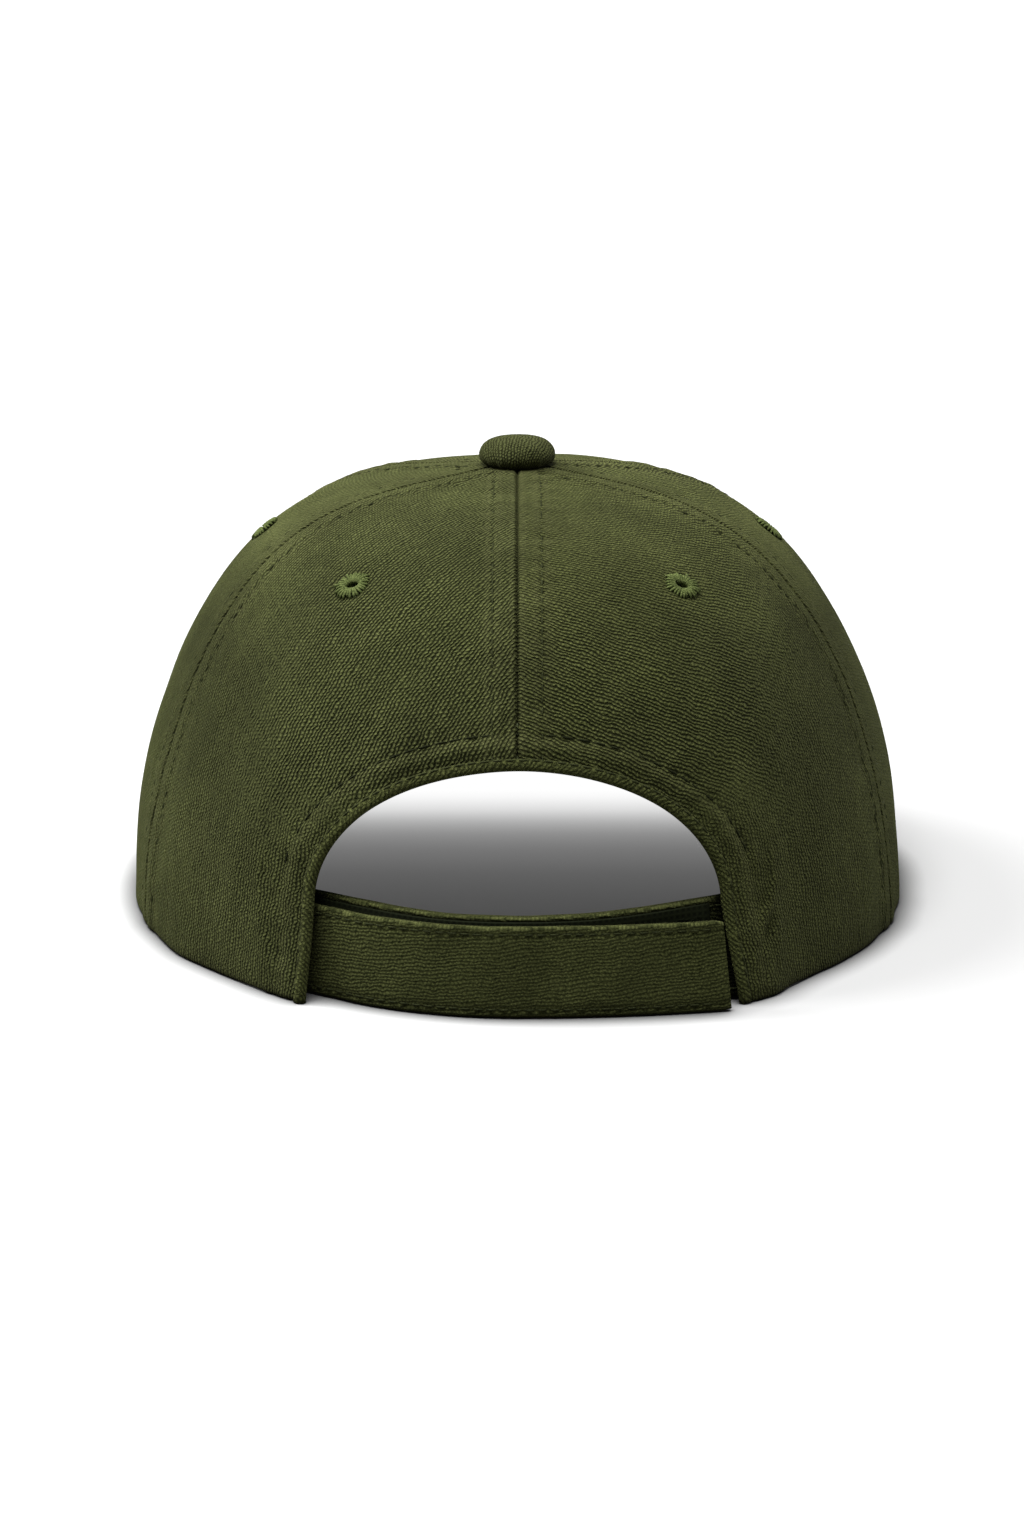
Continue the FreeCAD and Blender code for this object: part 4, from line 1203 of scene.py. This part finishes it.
def inner_reach():
    """Radius of the peak's crown edge against the angle from straight ahead."""
    edge = peak_inner(200)
    angle = np.abs(np.arctan2(edge[:, 1], edge[:, 0]) + np.pi / 2)
    order = np.argsort(angle)
    return angle[order], np.hypot(*edge.T)[order]


peak_sheet("top", 0.0, 1.75, rim=1.75)
peak_sheet("under", -PEAK_THICK, 2.6)


# --- back straps ---
STRAP_BEND, STRAP_FREE_BEND, INNER_ROOT_BEND = 0.0088, 0.0025, 0.0070
STRAP_CREST, STRAP_HEIGHT = box_mm("outer_strap")[1][1:]
INNER_CREST = 98.3
STRAP_ROW = {"low": 1.8, "high": 1.6, "sunk": 0.16}      # its stitches: distance from both edges, depth


def outer_line(x):
    """Outer face of the outer strap seen from above; past the opening's edge it turns in behind the panel."""
    bend = np.where(x > 0, STRAP_BEND - 0.0006 * fade(x, 30.0, 40.0), STRAP_FREE_BEND)
    return STRAP_CREST - bend * x * x


def inner_line(x):
    bend = np.where(x > 0, STRAP_BEND, INNER_ROOT_BEND)
    return INNER_CREST - bend * x * x


def straight(x):
    return 0.0 * x


def inner_lean(x):
    """The sewn end of the inner strap follows the leg of the opening, which stands out at the hem."""
    return 6.5 * smoothstep(-x, 31.0, 46.0)


def inner_lift(x):
    """The inner strap rides up a little towards both of its ends."""
    return 0.9 * smoothstep(np.abs(x), 12.0, 42.0)


# each strap: its line from above, how far its lower edge leans out, how far its upper edge rides up
OUTER = (outer_line, straight, straight)
INNER = (inner_line, inner_lean, inner_lift)


def strap_frame(line, xs):
    """Points of a strap's line, with the directions along it and outwards."""
    step = 0.05
    points = np.stack([xs, line(xs), xs * 0], -1)
    along = unit(np.stack([np.full_like(xs, 2 * step), line(xs + step) - line(xs - step), xs * 0], -1))
    return points, along, np.stack([-along[:, 1], along[:, 0], along[:, 2]], -1)


def strap_place(frame_of, depth, height, shift=None):
    """Points at a depth outwards from the strap's line and at a height, moved along it by shift."""
    points, along, outward = [part[:, None] for part in frame_of]
    place = points + outward * depth[..., None]
    if shift is not None:
        place = place + along * shift[..., None]
    place[..., 2] += height
    return place


def strap_outline(near, far, bottom, top, corner=0.75, steps=4, rows=27):
    """Rounded upright section: distances out and heights of its corners, going round once."""
    outline = []
    centres = [(far - corner, bottom + corner, -90), (far - corner, top - corner, 0),
               (near + corner, top - corner, 90), (near + corner, bottom + corner, 180)]
    share = np.linspace(0, 1, rows + 2)[1:-1]
    rising = bottom + corner + (top - bottom - 2 * corner) * share
    falling = top - corner + (bottom - top + 2 * corner) * share
    for (out, height, start), side, heights in zip(centres, (far, 0, near, 0), (rising, (), falling, ())):
        for turn in np.radians(start + 90 * np.arange(steps) / (steps - 1)):
            outline.append((out + corner * np.cos(turn), height + corner * np.sin(turn)))
        outline += [(side, level) for level in heights]
    return np.array(outline).T


def strap(name, shape, reach, depths, heights, cloth, cad, slant=0.0):
    """Folded cloth band with a row of stitches along each edge, from its sewn end to its free end."""
    line, lean, lift = shape
    near, far = depths
    bottom, top = heights
    centre, middle = (near + far) / 2, (bottom + top) / 2
    xs = np.linspace(*reach, 150)
    frame_of = strap_frame(line, xs)
    length = path_lengths(frame_of[0])[:, None]
    from_end = np.abs(xs - reach[1])[:, None]
    cut = slant * fade(from_end, 0.0, 14.0)
    thin = fade(from_end, 0.0, 1.8)
    leaning, rising = lean(xs)[:, None], lift(xs)[:, None] + 0.16 * ripple_at(length / 9, 3.0, near)
    out, height = strap_outline(near, far, bottom, top)
    up, face = (height - bottom) / (top - bottom), np.where(out > centre, 1, -1)
    row_dent = -0.30 * bell(np.minimum(height - bottom, top - height), 1.7, 0.45)
    bulge = 0.12 * ripple_at(length / 7, height / 6, face * 4.0)
    depth = centre + (out - centre) * (1 - 0.10 * thin) + face * (row_dent + bulge) + leaning * (1 - up)
    level = middle + (height - middle) * (1 - 0.03 * thin) + rising * up
    builder = Builder()
    sections = strap_place(frame_of, depth, level, cut * (up - 0.5))
    closed_sweep(builder, sections, pairs(length, height + face * 30 + out))
    for height in (bottom + STRAP_ROW["low"], top - STRAP_ROW["high"]):
        for face, side in ((1, far), (-1, near)):
            up = (height - bottom) / (top - bottom)
            depth = side - face * STRAP_ROW["sunk"] + leaning * (1 - up)
            row = strap_place(frame_of, depth, height + rising * up, cut * (up - 0.5))[:, 0]
            add_stitches(builder, (row[2:-2], frame_of[2][2:-2] * face), slot=1, proud=0.16, radius=0.20)
    return mesh_piece(name, builder, [cloth, "thread"], cad, body=None)


def strap_tape(name, shape, reach, depths, heights, body, face):
    """Fastening strip. Its outer face carries loops, its inner face hooks; face is 1 or -1."""
    line, lean, lift = shape
    near, far = depths
    bottom, top = heights
    loops, pitch, thread = face > 0, 1.25, 0.10
    xs = np.linspace(*reach, 70)
    frame_of = strap_frame(line, xs)
    points, along, outward = frame_of
    out, height = strap_outline(near, far, bottom, top, corner=0.25, steps=3, rows=5)
    up = height / STRAP_HEIGHT
    leaning, rising = lean(xs)[:, None], lift(xs)[:, None]
    length = path_lengths(points)
    builder = Builder()
    sections = strap_place(frame_of, out + leaning * (1 - up), height + rising * up)
    closed_sweep(builder, sections, pairs(length[:, None], height))
    surface, half = (far, 0.45) if loops else (near, 0.3)
    for column in np.arange(1.2, length[-1] - 1.0, pitch):
        index = int(np.searchsorted(length, column))
        for row in np.arange(bottom + 1.0, top - 0.8, pitch):
            shake = random.uniform(-0.3, 0.3) if loops else 0.0
            foot = points[index] + outward[index] * surface + np.array([0, 0, row + shake])
            tall = random.uniform(0.25, 0.4)
            tip = [(-half, 0.0), (-0.7 * half, tall), (0.4 * half, tall * 1.1), (half, 0.0 if loops else 0.2)]
            centres = [foot + along[index] * a + outward[index] * face * b for a, b in tip]
            add_tube(builder, centres, np.full(4, thread), sides=4)
    kind = "loop" if loops else "hook"
    mesh_piece(name, builder, [kind], [kind + "_tape"], body=body)


def blend_strap(piece, joint_name, line, towards):
    """Works out a short stretch on both sides of the strap's hinge line, which nothing then uses, and bakes
    the strap's placement into its mesh; the strap does not turn.
    """
    joint = next(each for each in frame["joints"] if each["name"] == joint_name)
    hinge = np.array(joint["pos_m"]) / MM
    _, along, _ = strap_frame(line, np.array([hinge[0]]))
    reach = 4.0 * towards * along[0]
    tuple((hinge - reach) * MM)
    tuple((hinge + reach) * MM)
    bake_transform(piece)


outer = strap("outer_strap_cloth", OUTER, (51.0, -44.5), (-1.9, 0.0), (0.05, STRAP_HEIGHT), "strap",
              ["outer_strap", "outer_strap_anchor"], slant=2.1)
inner = strap("inner_strap_cloth", INNER, (-51.0, 45.0), (-0.5, 2.1), (0.3, STRAP_HEIGHT + 0.6), "inner",
              ["inner_strap", "inner_strap_anchor"])
strap_tape("hook_tape_strip", OUTER, (-39.0, 17.0), (-2.95, -1.95), (2.0, STRAP_HEIGHT - 2.0),
           "outer_strap", -1)
strap_tape("loop_tape_strip", INNER, (-39.5, 43.5), (2.05, 2.8), (1.8, STRAP_HEIGHT - 0.3),
           "inner_strap", 1)
blend_strap(outer, "outer_strap_peel", outer_line, -1)
blend_strap(inner, "inner_strap_swing", inner_line, 1)

for node, material in (("button_shell", "metal"), ("button_tack", "metal"), ("button_washer", "metal"),
                       ("peak_board", "board")):
    mesh = frame["nodes"][node].data
    mesh.materials.clear()
    mesh.materials.append(MATERIALS[material])


# --- stage ---
FLOOR_GLOW, AMBIENT, BACKDROP = 0.03, 0.20, 1.2
LIGHTS = {"key_softbox": ((0.86, -0.16, 0.88), 0.8, 15.0),      # place, size, power
          "top_softbox": ((0.1, 0.28, 1.24), 0.8, 16.0),
          "fill_softbox": ((-1.0, -0.72, 0.32), 0.7, 5.5)}
LIGHT_TARGET = (0.0, 0.0, 0.05)
CAMERA_ELEVATION, CAMERA_DISTANCE = math.radians(16.63), 1.0
CAMERA = {"sensor_width": 36.0, "lens": 99.9, "shift_x": -0.00344, "shift_y": 0.0699, "clip_start": 0.01}
# Painted light and shade: the floor inside the cap glows to the camera, brightest at the front and fading
# towards the back.
INSIDE_GLOW = ((-90, 1.1), (-70, 0.97), (-57, 0.71), (-47, 0.43), (-36, 0.26), (-22, 0.175), (-2, 0.115),
               (34, 0.060))      # brightness of the floor inside the cap against y, in mm


def inside_glow(n, y):
    """Brightness of the painted glow on the floor inside the cap: bright at the front, fading to painted
    shade towards the back.
    """
    ramp = n.tree.nodes.new("ShaderNodeValToRGB")
    ramp.color_ramp.interpolation = "B_SPLINE"
    elements = ramp.color_ramp.elements
    while len(elements) < len(INSIDE_GLOW):
        elements.new(0.5)
    front, back = INSIDE_GLOW[0][0], INSIDE_GLOW[-1][0]
    for element, (depth, glow) in zip(elements, INSIDE_GLOW):
        element.position = (depth - front) / (back - front)
        element.color = rgba(glow, glow, glow)
    n.put(ramp.inputs[0], y.span(front * MM, back * MM))
    return Value(n, ramp.outputs[0])


def floor_material():
    """White to the camera, with the lamps' soft shadow and a painted contact shadow; a low bounce; a painted
    glow inside the cap, brighter towards the front.
    """
    n = Nodes("floor_white")
    seen = n.node("ShaderNodeLightPath")
    # Painted contact shadow: the floor darkened where an occlusion node finds the cap close by.
    painted_contact_shadow = n.open_sky(7).span(0.32, 1.0, 0.03, 1.0)
    shade = seen.span(0, 1, 0.22, 0.73) * painted_contact_shadow
    n.finish(Base_Color=n.node("ShaderNodeCombineColor", {0: shade, 1: shade, 2: shade}), Roughness=1.0,
             Specular_IOR_Level=0.0)
    x, y, _ = n.axes(n.node("ShaderNodeNewGeometry"))
    round_x = n.square(n.math("DIVIDE", x, 0.93 * HALF_WIDTH * MM))
    round_y = n.square(n.math("DIVIDE", y, 0.92 * REAR_DEPTH * MM))
    outside = (round_x + round_y).span(0.97, 1.0)
    distance = n.math("SQRT", n.square(x) + n.square(y))
    plain = distance.span(0.25, 1.2, FLOOR_GLOW, 1.0)
    strength = n.node("ShaderNodeMix", {0: outside, 2: inside_glow(n, y), 3: plain})
    glow = n.node("ShaderNodeEmission", {"Strength": seen * strength * painted_contact_shadow})
    both = n.node("ShaderNodeAddShader", {0: Value(n, n.shader.outputs[0]), 1: glow})
    n.put(n.tree.nodes["Material Output"].inputs["Surface"], both)
    return n.material


def floor():
    mesh = bpy.data.meshes.new("floor")
    half, below_hem = 6.0, 0.0002
    mesh.from_pydata([(-half, -half, 0), (half, -half, 0), (half, half, 0), (-half, half, 0)], [],
                     [(0, 1, 2, 3)])
    mesh.materials.append(floor_material())
    made = bpy.data.objects.new("floor", mesh)
    made.location.z = -below_hem
    bpy.context.scene.collection.objects.link(made)


def area_light(name, place, size, power):
    data = bpy.data.lights.new(name, "AREA")
    data.shape = "DISK"
    data.size = size
    data.energy = power
    light = bpy.data.objects.new(name, data)
    light.location = place
    light.rotation_euler = (Vector(LIGHT_TARGET) - Vector(place)).to_track_quat("-Z", "Y").to_euler()
    light.visible_camera = False
    bpy.context.scene.collection.objects.link(light)


def world():
    """Even light all round; the camera sees it as white."""
    made = bpy.data.worlds.new("studio")
    made.use_nodes = True
    tree = made.node_tree
    background = tree.nodes["Background"].inputs
    path = tree.nodes.new("ShaderNodeLightPath")
    pick = tree.nodes.new("ShaderNodeMapRange")
    pick.inputs["To Min"].default_value = AMBIENT
    pick.inputs["To Max"].default_value = BACKDROP
    tree.links.new(path.outputs["Is Camera Ray"], pick.inputs["Value"])
    tree.links.new(pick.outputs[0], background["Strength"])
    background["Color"].default_value = rgba(1, 1, 1)
    bpy.context.scene.world = made


def camera():
    data = bpy.data.cameras.new("camera")
    made = bpy.data.objects.new("camera", data)
    bpy.context.scene.collection.objects.link(made)
    back = Vector((0, math.cos(CAMERA_ELEVATION), math.sin(CAMERA_ELEVATION)))
    made.location = back * CAMERA_DISTANCE
    made.rotation_euler = (-back).to_track_quat("-Z", "Y").to_euler()
    for setting, value in CAMERA.items():
        setattr(data, setting, value)
    bpy.context.scene.camera = made


floor()
world()
for light_name, (light_place, light_size, light_power) in LIGHTS.items():
    area_light(light_name, light_place, light_size, light_power)
bpy.context.scene.view_settings.view_transform = "Standard"
camera()
